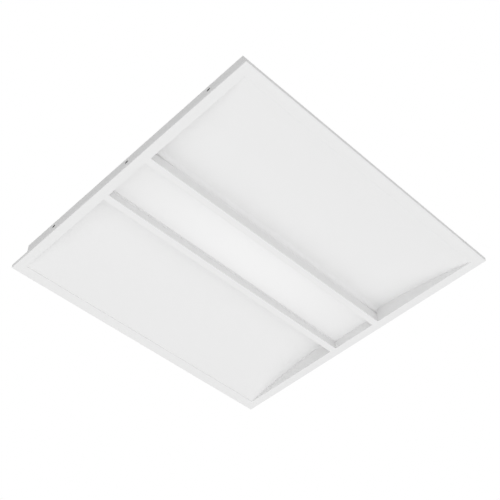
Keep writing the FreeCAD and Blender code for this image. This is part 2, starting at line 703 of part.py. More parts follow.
def hinge_ear(sketch, root_y, attached_below):
    """Outline of an ear round the hinge axis, with the pin hole in it."""
    reach = "dims.hinge_ear_radius"
    if attached_below:
        corners = [(f"{HINGE_Y} - {reach}", root_y), (f"{HINGE_Y} - {reach}", HINGE_Z),
                   (f"{HINGE_Y} + {reach}", HINGE_Z), (f"{HINGE_Y} + {reach}", root_y)]
        outline(sketch, corners, {1: f"-1*{reach}"})
        circles(sketch, [(HINGE_Y, HINGE_Z)], "(dims.hinge_pin_radius + dims.hinge_running_gap)")
    else:
        corners = [(root_y, f"{HINGE_Z} - {reach}"), (HINGE_Y, f"{HINGE_Z} - {reach}"),
                   (HINGE_Y, f"{HINGE_Z} + {reach}"), (root_y, f"{HINGE_Z} + {reach}")]
        outline(sketch, corners, {1: f"-1*{reach}"})
        circles(sketch, [(HINGE_Y, HINGE_Z)], "dims.hinge_pin_radius")


def gear_box_cover():
    """Lid with three skirts and two ears on the hinge pins."""
    body = new_body("gear_box_cover")
    skirt_x = f"({BOX_X} + dims.cover_gap)"
    skirt_y = f"({BOX_Y} + dims.cover_gap)"
    outer_x = f"({skirt_x} + dims.cover_sheet)"
    outer_y = f"({skirt_y} + dims.cover_sheet)"
    back_y = f"({HINGE_Y} + dims.hinge_ear_radius)"
    top = new_sketch(body, "XY", BOX_TOP)
    rectangle(top, f"-1*{outer_x}", outer_x, f"-1*{outer_y}", back_y)
    pad(body, top, "dims.cover_sheet")
    skirts = new_sketch(body, "XY", BOX_TOP)
    side_end = f"({BOX_Y} - dims.box_corner)"
    outline(skirts, [
        (f"-1*{outer_x}", f"-1*{outer_y}"), (outer_x, f"-1*{outer_y}"), (outer_x, side_end),
        (skirt_x, side_end), (skirt_x, f"-1*{skirt_y}"), (f"-1*{skirt_x}", f"-1*{skirt_y}"),
        (f"-1*{skirt_x}", side_end), (f"-1*{outer_x}", side_end)])
    pad(body, skirts, "dims.cover_skirt", backwards=True)
    ear_x = f"({HINGE_EAR_X} + 3/2*dims.hinge_ear_sheet + dims.hinge_ear_gap)"
    for sign in BOTH:
        ear = new_sketch(body, "YZ", f"{sign}*{ear_x}")
        hinge_ear(ear, f"{BOX_TOP} + dims.cover_sheet/2", attached_below=True)
        pad(body, ear, "dims.hinge_ear_sheet", midplane=True)
    lock_hole = new_sketch(body, "XY", f"({BOX_TOP} + dims.cover_sheet/2)")
    circles(lock_hole, [("0", LOCK_Y)], "(dims.lock_shank_radius + dims.hinge_running_gap)")
    cut(body, lock_hole, "4*dims.cover_sheet")


def cover_hinge_pins():
    """One short pin through each pair of hinge ears."""
    body = new_body("cover_hinge_pins")
    sketch = new_sketch(body, "YZ", f"({HINGE_EAR_X} - dims.hinge_pin_out)")
    circles(sketch, [(HINGE_Y, HINGE_Z)], "dims.hinge_pin_radius")
    pad(body, sketch, "2*dims.hinge_ear_sheet + dims.hinge_ear_gap + 2*dims.hinge_pin_out")
    mirror(body, "YZ")


def cover_lock():
    """Quarter-turn lock, drawn unlocked: its tongue lies along the wall that it can enter."""
    body = new_body("cover_lock")
    head = new_sketch(body, "XY", f"({BOX_TOP} + dims.cover_sheet)")
    circles(head, [("0", LOCK_Y)], "dims.lock_head_radius")
    pad(body, head, "dims.lock_head_height")
    tongue_top = f"({BOX_TOP} - dims.lock_drop)"
    shank = new_sketch(body, "XY", tongue_top)
    circles(shank, [("0", LOCK_Y)], "dims.lock_shank_radius")
    pad(body, shank, "dims.lock_drop + dims.cover_sheet + dims.lock_head_height/2")
    tongue = new_sketch(body, "XY", tongue_top)
    half = "(dims.lock_tongue_width/2)"
    rectangle(tongue, f"-1*{half}", "dims.lock_reach", f"{LOCK_Y} - {half}", f"{LOCK_Y} + {half}")
    pad(body, tongue, "dims.lock_tongue_sheet", backwards=True)
    slot = new_sketch(body, "XY", f"({BOX_TOP} + dims.cover_sheet + dims.lock_head_height)")
    rectangle(slot, "-1*dims.lock_key_length/2", "dims.lock_key_length/2",
              f"{LOCK_Y} - dims.lock_key_width/2", f"{LOCK_Y} + dims.lock_key_width/2")
    cut(body, slot, "dims.lock_head_height")


def driver():
    """LED driver: a base plate with two feet, a case on it and a terminal at each end."""
    side = "(dims.driver_width/2)"
    base = new_body("driver_base")
    plate = new_sketch(base, "XY", BOX_FLOOR)
    rectangle(plate, f"{DRIVER_START} - dims.driver_foot", f"{DRIVER_STOP} + dims.driver_foot",
              f"dims.driver_side - {side}", f"dims.driver_side + {side}")
    pad(base, plate, "dims.plate_sheet")
    punch_for_shanks(base, DRIVER_SCREWS, "dims.screw_radius", f"({BOX_FLOOR} + dims.plate_sheet/2)")

    case = new_body("driver_case")
    block = new_sketch(case, "XY", PLATE_TOP)
    rectangle(block, DRIVER_START, DRIVER_STOP, f"dims.driver_side - {side}", f"dims.driver_side + {side}")
    pad(case, block, "dims.driver_height - dims.plate_sheet")
    round_edges(case, "dims.driver_round", x=f"({DRIVER_START} + {DRIVER_STOP})/2",
                z=f"{BOX_FLOOR} + dims.driver_height")

    terminals = new_body("driver_terminals")
    half = "(dims.driver_terminal_width/2)"
    blocks = new_sketch(terminals, "XY", f"{PLATE_TOP} + dims.driver_terminal_lift")
    for near, far in ((DRIVER_START, f"{DRIVER_START} - dims.driver_terminal_length"),
                      (DRIVER_STOP, f"{DRIVER_STOP} + dims.driver_terminal_length")):
        rectangle(blocks, near, far, f"dims.driver_side - {half}", f"dims.driver_side + {half}")
    pad(terminals, blocks, "dims.driver_terminal_height")


def terminal_block():
    """Three-pole lever connector for the mains cable, with a recess, a pivot and a port for each pole."""
    body = new_body("terminal_block")
    half_x = "(dims.terminal_length/2)"
    half_y = "(3/2*dims.pole_pitch + dims.terminal_wall)"
    block = new_sketch(body, "XY", BOX_FLOOR)
    rectangle(block, f"{TERMINAL_X} - {half_x}", f"{TERMINAL_X} + {half_x}",
              f"dims.terminal_y - {half_y}", f"dims.terminal_y + {half_y}")
    pad(body, block, "dims.terminal_height")
    middles = [f"(dims.terminal_y + {pole}*dims.pole_pitch)" for pole in ROW_OF_THREE]
    recess = new_sketch(body, "XY", f"({BOX_FLOOR} + dims.terminal_height)")
    reach = "(dims.lever_width/2 + dims.lever_gap)"
    for middle in middles:
        rectangle(recess, f"{TERMINAL_X} - {half_x} - dims.lever_gap",
                  f"{LEVER_PIVOT_X} + dims.lever_boss_radius + dims.lever_gap",
                  f"{middle} - {reach}", f"{middle} + {reach}")
    cut(body, recess, "2*(2*dims.lever_boss_radius + dims.lever_gap)")
    pin_hole = new_sketch(body, "XZ", "-1*dims.terminal_y")
    corner_radius = f"(dims.lever_pin_radius/{math.cos(math.pi / SHANK_SIDES):.6f})"
    polygons(pin_hole, [(LEVER_PIVOT_X, LEVER_PIVOT_Z)], corner_radius, SHANK_SIDES)
    cut(body, pin_hole, f"3*{half_y}")
    ports = new_sketch(body, "YZ", f"({TERMINAL_X} + {half_x})")
    polygons(ports, [(middle, WIRE_PORT_Z) for middle in middles], "dims.wire_port_radius", ROUND_SIDES)
    cut(body, ports, "2*dims.wire_port_depth")


def terminal_lever(index, pole):
    """Lever that lies flat in its recess and lifts about the pin."""
    body = new_body(f"terminal_lever_{index}")
    middle = f"(-1*(dims.terminal_y + {pole}*dims.pole_pitch))"
    arm = new_sketch(body, "XZ", middle)
    tip = f"({LEVER_PIVOT_X} - dims.lever_length)"
    top = f"({LEVER_PIVOT_Z} + dims.lever_boss_radius)"
    rectangle(arm, tip, LEVER_PIVOT_X, f"{top} - dims.lever_sheet", top)
    pad(body, arm, "dims.lever_width", midplane=True)
    boss = new_sketch(body, "XZ", middle)
    circles(boss, [(LEVER_PIVOT_X, LEVER_PIVOT_Z)], "dims.lever_boss_radius")
    pad(body, boss, "dims.lever_width", midplane=True)
    bore = new_sketch(body, "XZ", middle)
    circles(bore, [(LEVER_PIVOT_X, LEVER_PIVOT_Z)], "(dims.lever_pin_radius + dims.lever_running_gap)")
    cut(body, bore, "2*dims.lever_width")


def lever_pin():
    """The pin that the three levers turn on."""
    body = new_body("lever_pin")
    sketch = new_sketch(body, "XZ", "-1*dims.terminal_y")
    circles(sketch, [(LEVER_PIVOT_X, LEVER_PIVOT_Z)], "dims.lever_pin_radius")
    pad(body, sketch, "3*dims.pole_pitch + 2*dims.terminal_wall", midplane=True)


def grommet(name, plane, middle, place, ends, rim_seat, radii):
    """A rubber ring with one rim: half of its section, turned about the hole's axis.

    place turns a distance along the axis and one across it into the sketch's two coordinates.
    """
    (inner_end, rim_end), (bore, neck, rim) = ends, radii
    body = new_body(name)
    sketch = new_sketch(body, plane, middle)
    outline(sketch, [place(inner_end, bore), place(inner_end, neck), place(rim_seat, neck),
                     place(rim_seat, rim), place(rim_end, rim), place(rim_end, bore)])
    axis_ends = [place(inner_end, "0"), place(rim_end, "0")]
    start, stop = (Vector(number(x), number(y), 0) for x, y in axis_ends)
    line = sketch.addGeometry(Part.LineSegment(start, stop), True)
    for vertex, point in enumerate(axis_ends, start=1):
        pin_vertex(sketch, line, vertex, point)
    turned = body.newObject("PartDesign::Revolution", f"{name}_turned")
    turned.Profile = sketch
    turned.ReferenceAxis = (sketch, ["Axis0"])
    turned.Angle = 360
    document.recompute()


def grommets():
    """Rubber grommets of the lead hole, whose axis is upright, and of the cable entry, which lies."""
    grommet("lead_grommet", "XZ", "0", lambda along, across: (across, along),
            (f"({PAN_UNDER} - dims.lead_rim_sheet)", f"({BOX_FLOOR} + dims.lead_rim_sheet)"), BOX_FLOOR,
            ("dims.lead_bore_radius", "dims.lead_hole_radius", "dims.lead_rim_radius"))
    grommet("entry_grommet", "XZ", "-1*dims.terminal_y",
            lambda along, across: (along, f"({ENTRY_Z} + {across})"),
            (f"({BOX_X} - dims.box_sheet - dims.entry_neck)", f"({BOX_X} + dims.entry_rim_sheet)"), BOX_X,
            ("dims.cable_radius", "dims.entry_hole_radius", "dims.entry_rim_radius"))


def cable_clamp():
    """Strap over the cable's place behind the entry, and the saddle below it."""
    inner, gauge = "(dims.cable_radius + dims.clamp_play)", "dims.plate_sheet"
    outer = f"({inner} + {gauge})"
    foot = f"({outer} + dims.clamp_foot)"
    middle = "dims.terminal_y"
    body = new_body("cable_clamp")
    sketch = new_sketch(body, "YZ", CLAMP_X)
    half = [(inner, ENTRY_Z), (inner, BOX_FLOOR), (foot, BOX_FLOOR),
            (foot, PLATE_TOP), (outer, PLATE_TOP), (outer, ENTRY_Z)]
    corners = ([(f"{middle} + {y}", z) for y, z in half]
               + [(f"{middle} - {y}", z) for y, z in reversed(half)])
    outline(sketch, corners, {5: f"-1*{outer}", 11: inner})
    pad(body, sketch, "dims.clamp_width", midplane=True)
    punch_for_shanks(body, CLAMP_SCREWS, "dims.screw_radius", f"({BOX_FLOOR} + {gauge}/2)")

    saddle = new_body("clamp_saddle")
    side = f"({inner} - dims.clamp_play)"
    block = new_sketch(saddle, "YZ", CLAMP_X)
    rectangle(block, f"{middle} - {side}", f"{middle} + {side}", BOX_FLOOR,
              f"{ENTRY_Z} - dims.cable_radius - dims.clamp_play")
    pad(saddle, block, "dims.clamp_width", midplane=True)


def earth_point():
    """Stud pressed into the gear box floor, the ring tag on its collar and the nut on the tag."""
    centre = (STUD_X, "dims.stud_y")
    stud = new_body("earth_stud")
    shaft = new_sketch(stud, "XY", BOX_FLOOR)
    circles(shaft, [centre], "dims.stud_radius")
    pad(stud, shaft, "dims.stud_height")
    collar = new_sketch(stud, "XY", BOX_FLOOR)
    hexagons(collar, [centre], "4*dims.stud_radius")
    pad(stud, collar, "dims.plate_sheet")

    tag = new_body("earth_tag")
    eye = new_sketch(tag, "XY", PLATE_TOP)
    half = "(dims.tag_barrel_width/2)"
    outline(eye, [(STUD_X, "dims.stud_y - dims.tag_radius"),
                  (f"{STUD_X} + dims.tag_radius", f"dims.stud_y - {half}"),
                  (f"{STUD_X} + dims.tag_length", f"dims.stud_y - {half}"),
                  (f"{STUD_X} + dims.tag_length", f"dims.stud_y + {half}"),
                  (f"{STUD_X} + dims.tag_radius", f"dims.stud_y + {half}"),
                  (STUD_X, "dims.stud_y + dims.tag_radius")], {5: "-1*dims.tag_radius"})
    circles(eye, [centre], "(dims.stud_radius + dims.nut_gap)")
    pad(tag, eye, "dims.plate_sheet")
    barrel = new_sketch(tag, "XY", PLATE_TOP)
    rectangle(barrel, f"{STUD_X} + dims.tag_length - dims.tag_barrel", f"{STUD_X} + dims.tag_length",
              f"dims.stud_y - {half}", f"dims.stud_y + {half}")
    pad(tag, barrel, "dims.tag_barrel_height")

    nut = new_body("earth_nut")
    body_sketch = new_sketch(nut, "XY", f"({PLATE_TOP} + dims.plate_sheet)")
    hexagons(body_sketch, [centre], "dims.nut_flats")
    circles(body_sketch, [centre], "(dims.stud_radius + dims.nut_gap)")
    pad(nut, body_sketch, "dims.nut_height")


# ---------------------------------------------------------------- leads
def bent_wire(points, bend):
    """Straight runs joined by tangent arcs."""
    edges = []
    start = points[0]
    for before, corner, after in zip(points, points[1:], points[2:]):
        into = (corner - before).normalize()
        out = (after - corner).normalize()
        turn = into.getAngle(out)
        shorter = min((corner - before).Length, (after - corner).Length)
        radius = min(bend, 0.45 * shorter / math.tan(turn / 2))
        setback = radius * math.tan(turn / 2)
        first, last = corner - into * setback, corner + out * setback
        bisector = (out - into).normalize()
        centre = corner + bisector * (radius / math.cos(turn / 2))
        middle = centre - bisector * radius
        edges.append(Part.LineSegment(start, first).toShape())
        edges.append(Part.Arc(first, middle, last).toShape())
        start = last
    edges.append(Part.LineSegment(start, points[-1]).toShape())
    return Part.Wire(edges)


def lead(name, route):
    """One sheathed lead along its route, plain and six-sided."""
    radius = number("dims.lead_radius")
    points = [Vector(*(number(value) for value in point)) for point in route]
    path = bent_wire(points, number("dims.lead_bend"))
    first_run = (points[1] - points[0]).normalize()
    across = Vector(0, 0, 1).cross(first_run).normalize()
    above = first_run.cross(across)
    turns = [math.pi * step / 3 for step in range(7)]
    section = Part.makePolygon([points[0] + across * radius * math.cos(turn) + above * radius * math.sin(turn)
                                for turn in turns])
    tube = path.makePipeShell([section], True, False)
    expected = 1.5 * math.sqrt(3) * radius ** 2 * path.Length
    if abs(tube.Volume - expected) > 0.02 * expected:
        raise RuntimeError(f"{name} has the wrong volume")
    feature = document.addObject("Part::Feature", name)
    feature.Label = name
    feature.Shape = tube
    feature.Placement = FreeCAD.Placement()
    nodes.append(feature)


def leads():
    """Leads between the boards, the driver, the mains terminal and the earth stud."""
    board_level = f"({BOARD_UNDER} - dims.connector_height/2)"
    apart = "(dims.lead_spacing/2)"
    driver_level = f"({PLATE_TOP} + dims.driver_terminal_lift + dims.driver_terminal_height/2)"
    driver_face = "(dims.driver_side + dims.driver_terminal_width/2)"
    output_x = f"({DRIVER_START} - dims.driver_terminal_length/2)"
    input_x = f"({DRIVER_STOP} + dims.driver_terminal_length/2)"
    lead("led_lead", [
        (f"-1*{BOARD_START}", f"-1*{apart}", board_level), ("0", f"-1*{apart}", board_level),
        ("0", f"-1*{apart}", driver_level), (output_x, f"-1*{apart}", driver_level),
        (output_x, driver_face, driver_level)])
    lead("board_link", [(f"-1*{BOARD_START}", apart, board_level), (BOARD_START, apart, board_level)])
    block_face = f"({TERMINAL_X} - dims.terminal_length/2)"
    mains_y = "(dims.terminal_y - dims.pole_pitch/2)"
    lead("mains_lead", [
        (block_face, mains_y, WIRE_PORT_Z), (input_x, mains_y, WIRE_PORT_Z),
        (input_x, f"{mains_y} - dims.mains_lead_rise", driver_level), (input_x, driver_face, driver_level)])
    earth_y = "(dims.terminal_y + dims.pole_pitch)"
    tag_level = f"({PLATE_TOP} + dims.tag_barrel_height/2)"
    tag_end = f"({STUD_X} + dims.tag_length)"
    lead("earth_lead", [
        (block_face, earth_y, WIRE_PORT_Z), (f"{block_face} - dims.earth_lead_out", earth_y, WIRE_PORT_Z),
        (f"{tag_end} + dims.earth_lead_in", "dims.stud_y", tag_level), (tag_end, "dims.stud_y", tag_level)])


# ---------------------------------------------------------------- straps and fasteners
def suspension_straps():
    """Four raised straps on the pan, each with a hole for a hanger."""
    body = new_body("suspension_straps")
    gauge = "dims.strap_sheet"
    foot = "(dims.strap_span/2 + dims.strap_foot)"
    leg = "(dims.strap_span/2)"
    inside = f"({leg} - {gauge})"
    top = f"({PAN_TOP} + dims.strap_rise)"
    half = [(foot, PAN_TOP), (foot, f"{PAN_TOP} + {gauge}"), (leg, f"{PAN_TOP} + {gauge}"), (leg, top)]
    inner = [(inside, f"{top} - {gauge}"), (inside, PAN_TOP)]
    corners = ([(f"{STRAP_X} + {x}", z) for x, z in half]
               + [(f"{STRAP_X} - {x}", z) for x, z in reversed(half)]
               + [(f"{STRAP_X} - {x}", z) for x, z in reversed(inner)]
               + [(f"{STRAP_X} + {x}", z) for x, z in inner])
    sketch = new_sketch(body, "XZ", STRAP_Y)
    outline(sketch, corners)
    pad(body, sketch, "dims.strap_width", midplane=True)
    hanger = new_sketch(body, "XY", f"({top} - {gauge}/2)")
    circles(hanger, [(STRAP_X, f"-1*{STRAP_Y}")], "dims.strap_hole_radius")
    cut(body, hanger, "4*dims.strap_sheet")
    mirror(body, "XZ")
    mirror(body, "YZ")


def all_fasteners():
    """Screws and rivets, one node for each place."""
    screws("end_cap_screws", CAP_SCREWS, f"({PAN_TOP} + dims.body_sheet)")
    screws("tray_screws", TRAY_SCREWS, f"({PAN_UNDER} - dims.tray_sheet)", head_down=True)
    screws("board_screws", BOARD_SCREWS, BOARD_UNDER, head_down=True)
    screws("gear_box_screws", DRIVER_SCREWS + CLAMP_SCREWS, PLATE_TOP, "(dims.plate_sheet + dims.box_sheet)")

    rivets = new_body("gear_box_rivets")
    heads = new_sketch(rivets, "XY", BOX_FLOOR)
    polygons(heads, BOX_RIVETS, "dims.rivet_head_radius", ROUND_SIDES)
    pad(rivets, heads, "dims.rivet_head_height")
    shanks = new_sketch(rivets, "XY", BOX_FLOOR)
    polygons(shanks, BOX_RIVETS, "dims.rivet_radius", SHANK_SIDES)
    pad(rivets, shanks, "dims.box_sheet + dims.body_sheet + dims.rivet_head_height", backwards=True)


def build():
    """Make every sub-part."""
    face_frame()
    housing_pan()
    for end, sign in ENDS.items():
        end_cap(end, sign)
        end_cheek(end, sign)
    for side, sign in SIDES.items():
        wing_reflector(side, sign)
        lens_rail(side, sign)
    opal_lens()
    led_tray()
    for end, sign in ENDS.items():
        led_board(end, sign)
    led_chips()
    board_connectors()
    gear_box()
    gear_box_cover()
    cover_hinge_pins()
    cover_lock()
    driver()
    terminal_block()
    for index, pole in enumerate(ROW_OF_THREE, start=1):
        terminal_lever(index, pole)
    lever_pin()
    grommets()
    cable_clamp()
    earth_point()
    leads()
    suspension_straps()
    all_fasteners()


def check_and_write():
    """Stop on any failed object, then write one file for each sub-part."""
    document.recompute()
    for item in document.Objects:
        if "Invalid" in item.State or "Error" in item.State:
            raise RuntimeError(f"{item.Label} failed: {item.State}")
    for node in nodes:
        if node.Shape.isNull() or not node.Shape.isValid() or not node.Shape.Solids:
            raise RuntimeError(f"{node.Label} has no valid shape")
    for node in nodes:
        node.Shape.exportStep(f"parts/{node.Label}.step")
    print(f"{len(nodes)} sub-parts")


build()
check_and_write()
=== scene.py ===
"""Looks of a recessed troffer light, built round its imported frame.

Metres. X runs along the lens, Y across it and Z is up. The origin is the middle of the
rim's underside, so the light hangs face down and the room is below it.
"""

import logging
import math
from dataclasses import dataclass
from enum import Enum
from typing import Callable, Mapping, Sequence

import bmesh
import bpy
from mathutils import Matrix, Vector


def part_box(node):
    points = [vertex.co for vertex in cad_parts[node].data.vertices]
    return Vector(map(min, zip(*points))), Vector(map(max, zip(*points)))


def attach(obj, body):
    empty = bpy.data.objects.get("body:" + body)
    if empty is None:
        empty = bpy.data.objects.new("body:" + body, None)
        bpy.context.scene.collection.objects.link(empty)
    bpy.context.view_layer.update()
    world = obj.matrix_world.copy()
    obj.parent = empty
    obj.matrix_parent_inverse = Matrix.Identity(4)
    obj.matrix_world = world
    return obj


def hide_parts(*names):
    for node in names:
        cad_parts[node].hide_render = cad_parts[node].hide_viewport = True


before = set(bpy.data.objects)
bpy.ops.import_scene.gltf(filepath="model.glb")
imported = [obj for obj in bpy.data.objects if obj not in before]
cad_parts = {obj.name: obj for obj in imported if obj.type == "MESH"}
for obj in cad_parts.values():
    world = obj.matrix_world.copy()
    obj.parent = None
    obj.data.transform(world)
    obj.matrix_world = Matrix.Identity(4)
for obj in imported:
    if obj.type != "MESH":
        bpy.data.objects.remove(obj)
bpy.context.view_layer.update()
LOG = logging.getLogger("troffer")

MM = 0.001
FULL_TURN = 2 * math.pi
SAME_PLACE = 1e-6
FLAT_ANGLE = math.radians(0.05)
SHARP_ANGLE = math.radians(32)
# How closely two directions agree: the cosine of the angle between them.
LEVEL = 0.999
SAME_WAY = 0.5
# The share of a groove's width that each of its walls takes.
GROOVE_WALL = 0.1
UP = Vector((0, 0, 1))
Colour = tuple[float, float, float]
Point = tuple[float, float, float]
Profile = tuple[tuple[float, float], ...]
Box = tuple[Vector, Vector]
EdgeTest = Callable[[bmesh.types.BMEdge], bool]


class Slot(Enum):
    """The record's material slots, by name."""

    WHITE_COAT = "white_coat"
    REFLECTOR_COAT = "reflector_coat"
    OPAL = "opal"
    ZINC = "zinc"
    BRASS = "brass"
    BOARD = "board"
    PHOSPHOR = "phosphor"
    WHITE_PLASTIC = "white_plastic"
    GREY_PLASTIC = "grey_plastic"
    DARK_PLASTIC = "dark_plastic"
    RUBBER = "rubber"
    LEAD_WHITE = "lead_white"
    LEAD_GREY = "lead_grey"
    LEAD_GREEN = "lead_green"


class Body(Enum):
    """The frame's moving bodies that new pieces ride on."""

    HOUSING = "housing"
    LENS = "lens"
    COVER = "cover"
    LOCK = "lock"
    LEVER_1 = "lever_1"
    LEVER_2 = "lever_2"
    LEVER_3 = "lever_3"


# ---------------------------------------------------------------- shader expressions
class Wire:
    """A shader socket that takes part in Python sums, differences and products."""

    def __init__(self, graph: "NodeGraph", socket: bpy.types.NodeSocket) -> None:
        """Keep the socket and the graph that it belongs to.

        Args:
            graph: The graph that new nodes go into.
            socket: An output socket of one of its nodes.
        """
        self.graph = graph
        self.socket = socket

    def __add__(self, other: "Wire | float") -> "Wire":
        """This value plus another."""
        return self.graph.math("ADD", self, other)

    def __radd__(self, other: float) -> "Wire":
        """A number plus this value."""
        return self.graph.math("ADD", other, self)

    def __sub__(self, other: "Wire | float") -> "Wire":
        """This value less another."""
        return self.graph.math("SUBTRACT", self, other)

    def __rsub__(self, other: float) -> "Wire":
        """A number less this value."""
        return self.graph.math("SUBTRACT", other, self)

    def __mul__(self, other: "Wire | float") -> "Wire":
        """This value times another."""
        return self.graph.math("MULTIPLY", self, other)

    def __rmul__(self, other: float) -> "Wire":
        """A number times this value."""
        return self.graph.math("MULTIPLY", other, self)


Value = Wire | float | Sequence[float]


class NodeGraph:
    """The node tree of a material or world, filled in by expressions."""

    def __init__(self, tree: bpy.types.NodeTree) -> None:
        """Empty the tree.

        Args:
            tree: The node tree to fill.
        """
        self.tree = tree
        self.tree.nodes.clear()

    def node(self, kind: str, settings: Mapping[str, object] | None = None,
             inputs: Mapping[str | int, Value] | None = None) -> bpy.types.Node:
        """Add one node.

        Args:
            kind: The node's type name.
            settings: Its own settings, set first.
            inputs: Values or wires for its sockets, by name or number.

        Returns:
            The new node.
        """
        node = self.tree.nodes.new(kind)
        for key, value in (settings or {}).items():
            setattr(node, key, value)
        for key, value in (inputs or {}).items():
            if isinstance(value, Wire):
                self.tree.links.new(value.socket, node.inputs[key])
            else:
                node.inputs[key].default_value = value
        return node

    def out(self, node: bpy.types.Node, output: str | int = 0) -> Wire:
        """One output of a node as a wire."""
        return Wire(self, node.outputs[output])

    def math(self, operation: str, first: Value, second: Value = 0.0) -> Wire:
        """A Math node on two values."""
        return self.out(self.node("ShaderNodeMath", {"operation": operation}, {0: first, 1: second}))

    def place(self) -> Wire:
        """Object coordinates, which are the row frame's metres."""
        return self.out(self.node("ShaderNodeTexCoord"), "Object")

    def stretched(self, scale: Sequence[float]) -> Wire:
        """Object coordinates with a scale along each axis."""
        return self.out(self.node("ShaderNodeMapping", None, {"Vector": self.place(), "Scale": scale}))

    def noise(self, size: float, detail: float = 2.0, along: Wire | None = None) -> Wire:
        """Noise from 0 to 1.

        Args:
            size: The width of one blotch or grain, in metres.
            detail: How many finer layers lie on it.
            along: Coordinates to use instead of the plain ones.

        Returns:
            The noise's value.
        """
        inputs = {"Vector": along or self.place(), "Scale": 1.0 / size, "Detail": detail}
        return self.out(self.node("ShaderNodeTexNoise", None, inputs), "Fac")

    def colour_mix(self, factor: Value, first: Colour | Wire, second: Colour | Wire) -> Wire:
        """A colour between two, by a factor."""
        ends = [end if isinstance(end, Wire) else (*end, 1.0) for end in (first, second)]
        mix = self.node("ShaderNodeMix", {"data_type": "RGBA"}, {0: factor, 6: ends[0], 7: ends[1]})
        return self.out(mix, 2)

    def bump(self, height: Wire, depth: float, below: Wire | None = None) -> Wire:
        """A normal from a height.

        Args:
            height: The height, from 0 to 1.
            depth: How high 1 stands, in metres.
            below: The normal of a coarser bump that this one lies on.

        Returns:
            The normal.
        """
        inputs: dict[str | int, Value] = {"Height": height, "Distance": depth, "Strength": 1.0}
        if below is not None:
            inputs["Normal"] = below
        return self.out(self.node("ShaderNodeBump", None, inputs))

    def surface(self, inputs: Mapping[str | int, Value]) -> Wire:
        """A Principled shader with the given sockets."""
        return self.out(self.node("ShaderNodeBsdfPrincipled", None, inputs))

    def finish(self, shader: Wire, kind: str = "ShaderNodeOutputMaterial") -> None:
        """Send a shader to the tree's output."""
        self.node(kind, None, {"Surface": shader})


def shade(colour: Colour, factor: float) -> Colour:
    """A colour made lighter or darker by a factor."""
    return tuple(min(1.0, part * factor) for part in colour)


# ---------------------------------------------------------------- finishes
@dataclass(frozen=True)
class PowderCoat:
    """Stoved paint on sheet steel, with fine orange peel.

    Attributes:
        colour: The paint's colour.
        roughness: Its mean roughness.
        peel: Width of one dimple of the orange peel, in metres.
        peel_depth: Its depth.
        cloud: How much the tone drifts over a hand's breadth.
    """

    colour: Colour
    roughness: float
    peel: float
    peel_depth: float
    cloud: float

    def shader(self, graph: NodeGraph) -> Wire:
        """The paint as a shader in the given graph."""
        drift = graph.noise(180 * MM, 2.0)
        fine = graph.noise(self.peel, 1.0)
        speck = graph.noise(self.peel * 6, 3.0)
        tone = graph.colour_mix(drift, shade(self.colour, 1 - self.cloud), self.colour)
        rough = self.roughness + (speck - 0.5) * 0.10
        relief = graph.bump(fine, self.peel_depth)
        return graph.surface({"Base Color": tone, "Roughness": rough, "Normal": relief,
                              "Specular IOR Level": 0.25})


@dataclass(frozen=True)
class OpalSheet:
    """Satin opal diffuser with a painted glow that evens out the shade in its recess, and painted shade that
    darkens it towards its two ends.

    Attributes:
        colour: Colour in the middle of its length.
        glow: How bright the painted glow is there; it stands in for light that fills the recess.
        painted_end_shade: The share of colour and glow that is left at the ends, as painted shade.
        half_length: Half of the sheet's length, in metres.
        roughness: Its mean roughness.
        fade: How late the painted shade and the glow fall off; 1 is evenly from the middle.
    """

    colour: Colour
    glow: float
    painted_end_shade: float
    half_length: float
    roughness: float
    fade: float = 2.2

    def shader(self, graph: NodeGraph) -> Wire:
        """The diffuser as a shader in the given graph."""
        parts = graph.node("ShaderNodeSeparateXYZ", None, {0: graph.place()})
        along = graph.math("ABSOLUTE", graph.out(parts, "X")) * (1 / self.half_length)
        # Painted shade: the colour and the glow fall off towards both ends of the sheet.
        fade = graph.math("POWER", along, self.fade)
        tone = graph.colour_mix(fade, self.colour, shade(self.colour, self.painted_end_shade))
        milk = graph.colour_mix(graph.noise(50 * MM, 3.0) * 0.25, tone, shade(self.colour, 0.97))
        satin = graph.noise(0.6 * MM, 1.0)
        rough = self.roughness + (graph.noise(20 * MM, 2.0) - 0.5) * 0.08
        # Painted glow, which evens out the shade in the sheet's recess.
        painted_glow = (self.glow,) * 3
        light = graph.colour_mix(fade, painted_glow, shade(painted_glow, self.painted_end_shade))
        return graph.surface({"Base Color": milk, "Roughness": rough, "Normal": graph.bump(satin, 3e-6),
                              "Specular IOR Level": 0.45, "Emission Color": light, "Emission Strength": 1.0})


@dataclass(frozen=True)
class PlatedSteel:
    """Zinc on steel, with spangles and fine rolling lines.

    Attributes:
        colour: The metal's colour.
        roughness: Its mean roughness.
        spangle: Width of one spangle, in metres.
    """

    colour: Colour
    roughness: float
    spangle: float

    def shader(self, graph: NodeGraph) -> Wire:
        """The metal as a shader in the given graph."""
        cells = graph.node("ShaderNodeTexVoronoi", None, {"Vector": graph.place(), "Scale": 1 / self.spangle})
        flake = graph.out(graph.node("ShaderNodeRGBToBW", None, {0: graph.out(cells, "Color")}))
        lines = graph.noise(0.4 * MM, 2.0, graph.stretched((0.04, 1.0, 1.0)))
        tone = graph.colour_mix(flake, shade(self.colour, 0.90), shade(self.colour, 1.06))
        worn = graph.colour_mix(graph.noise(10 * MM, 4.0) * 0.4, tone, shade(self.colour, 0.82))
        rough = self.roughness + (flake - 0.5) * 0.10 + (lines - 0.5) * 0.08
        return graph.surface({"Base Color": worn, "Metallic": 1.0, "Roughness": rough,
                              "Normal": graph.bump(lines, 4e-6)})


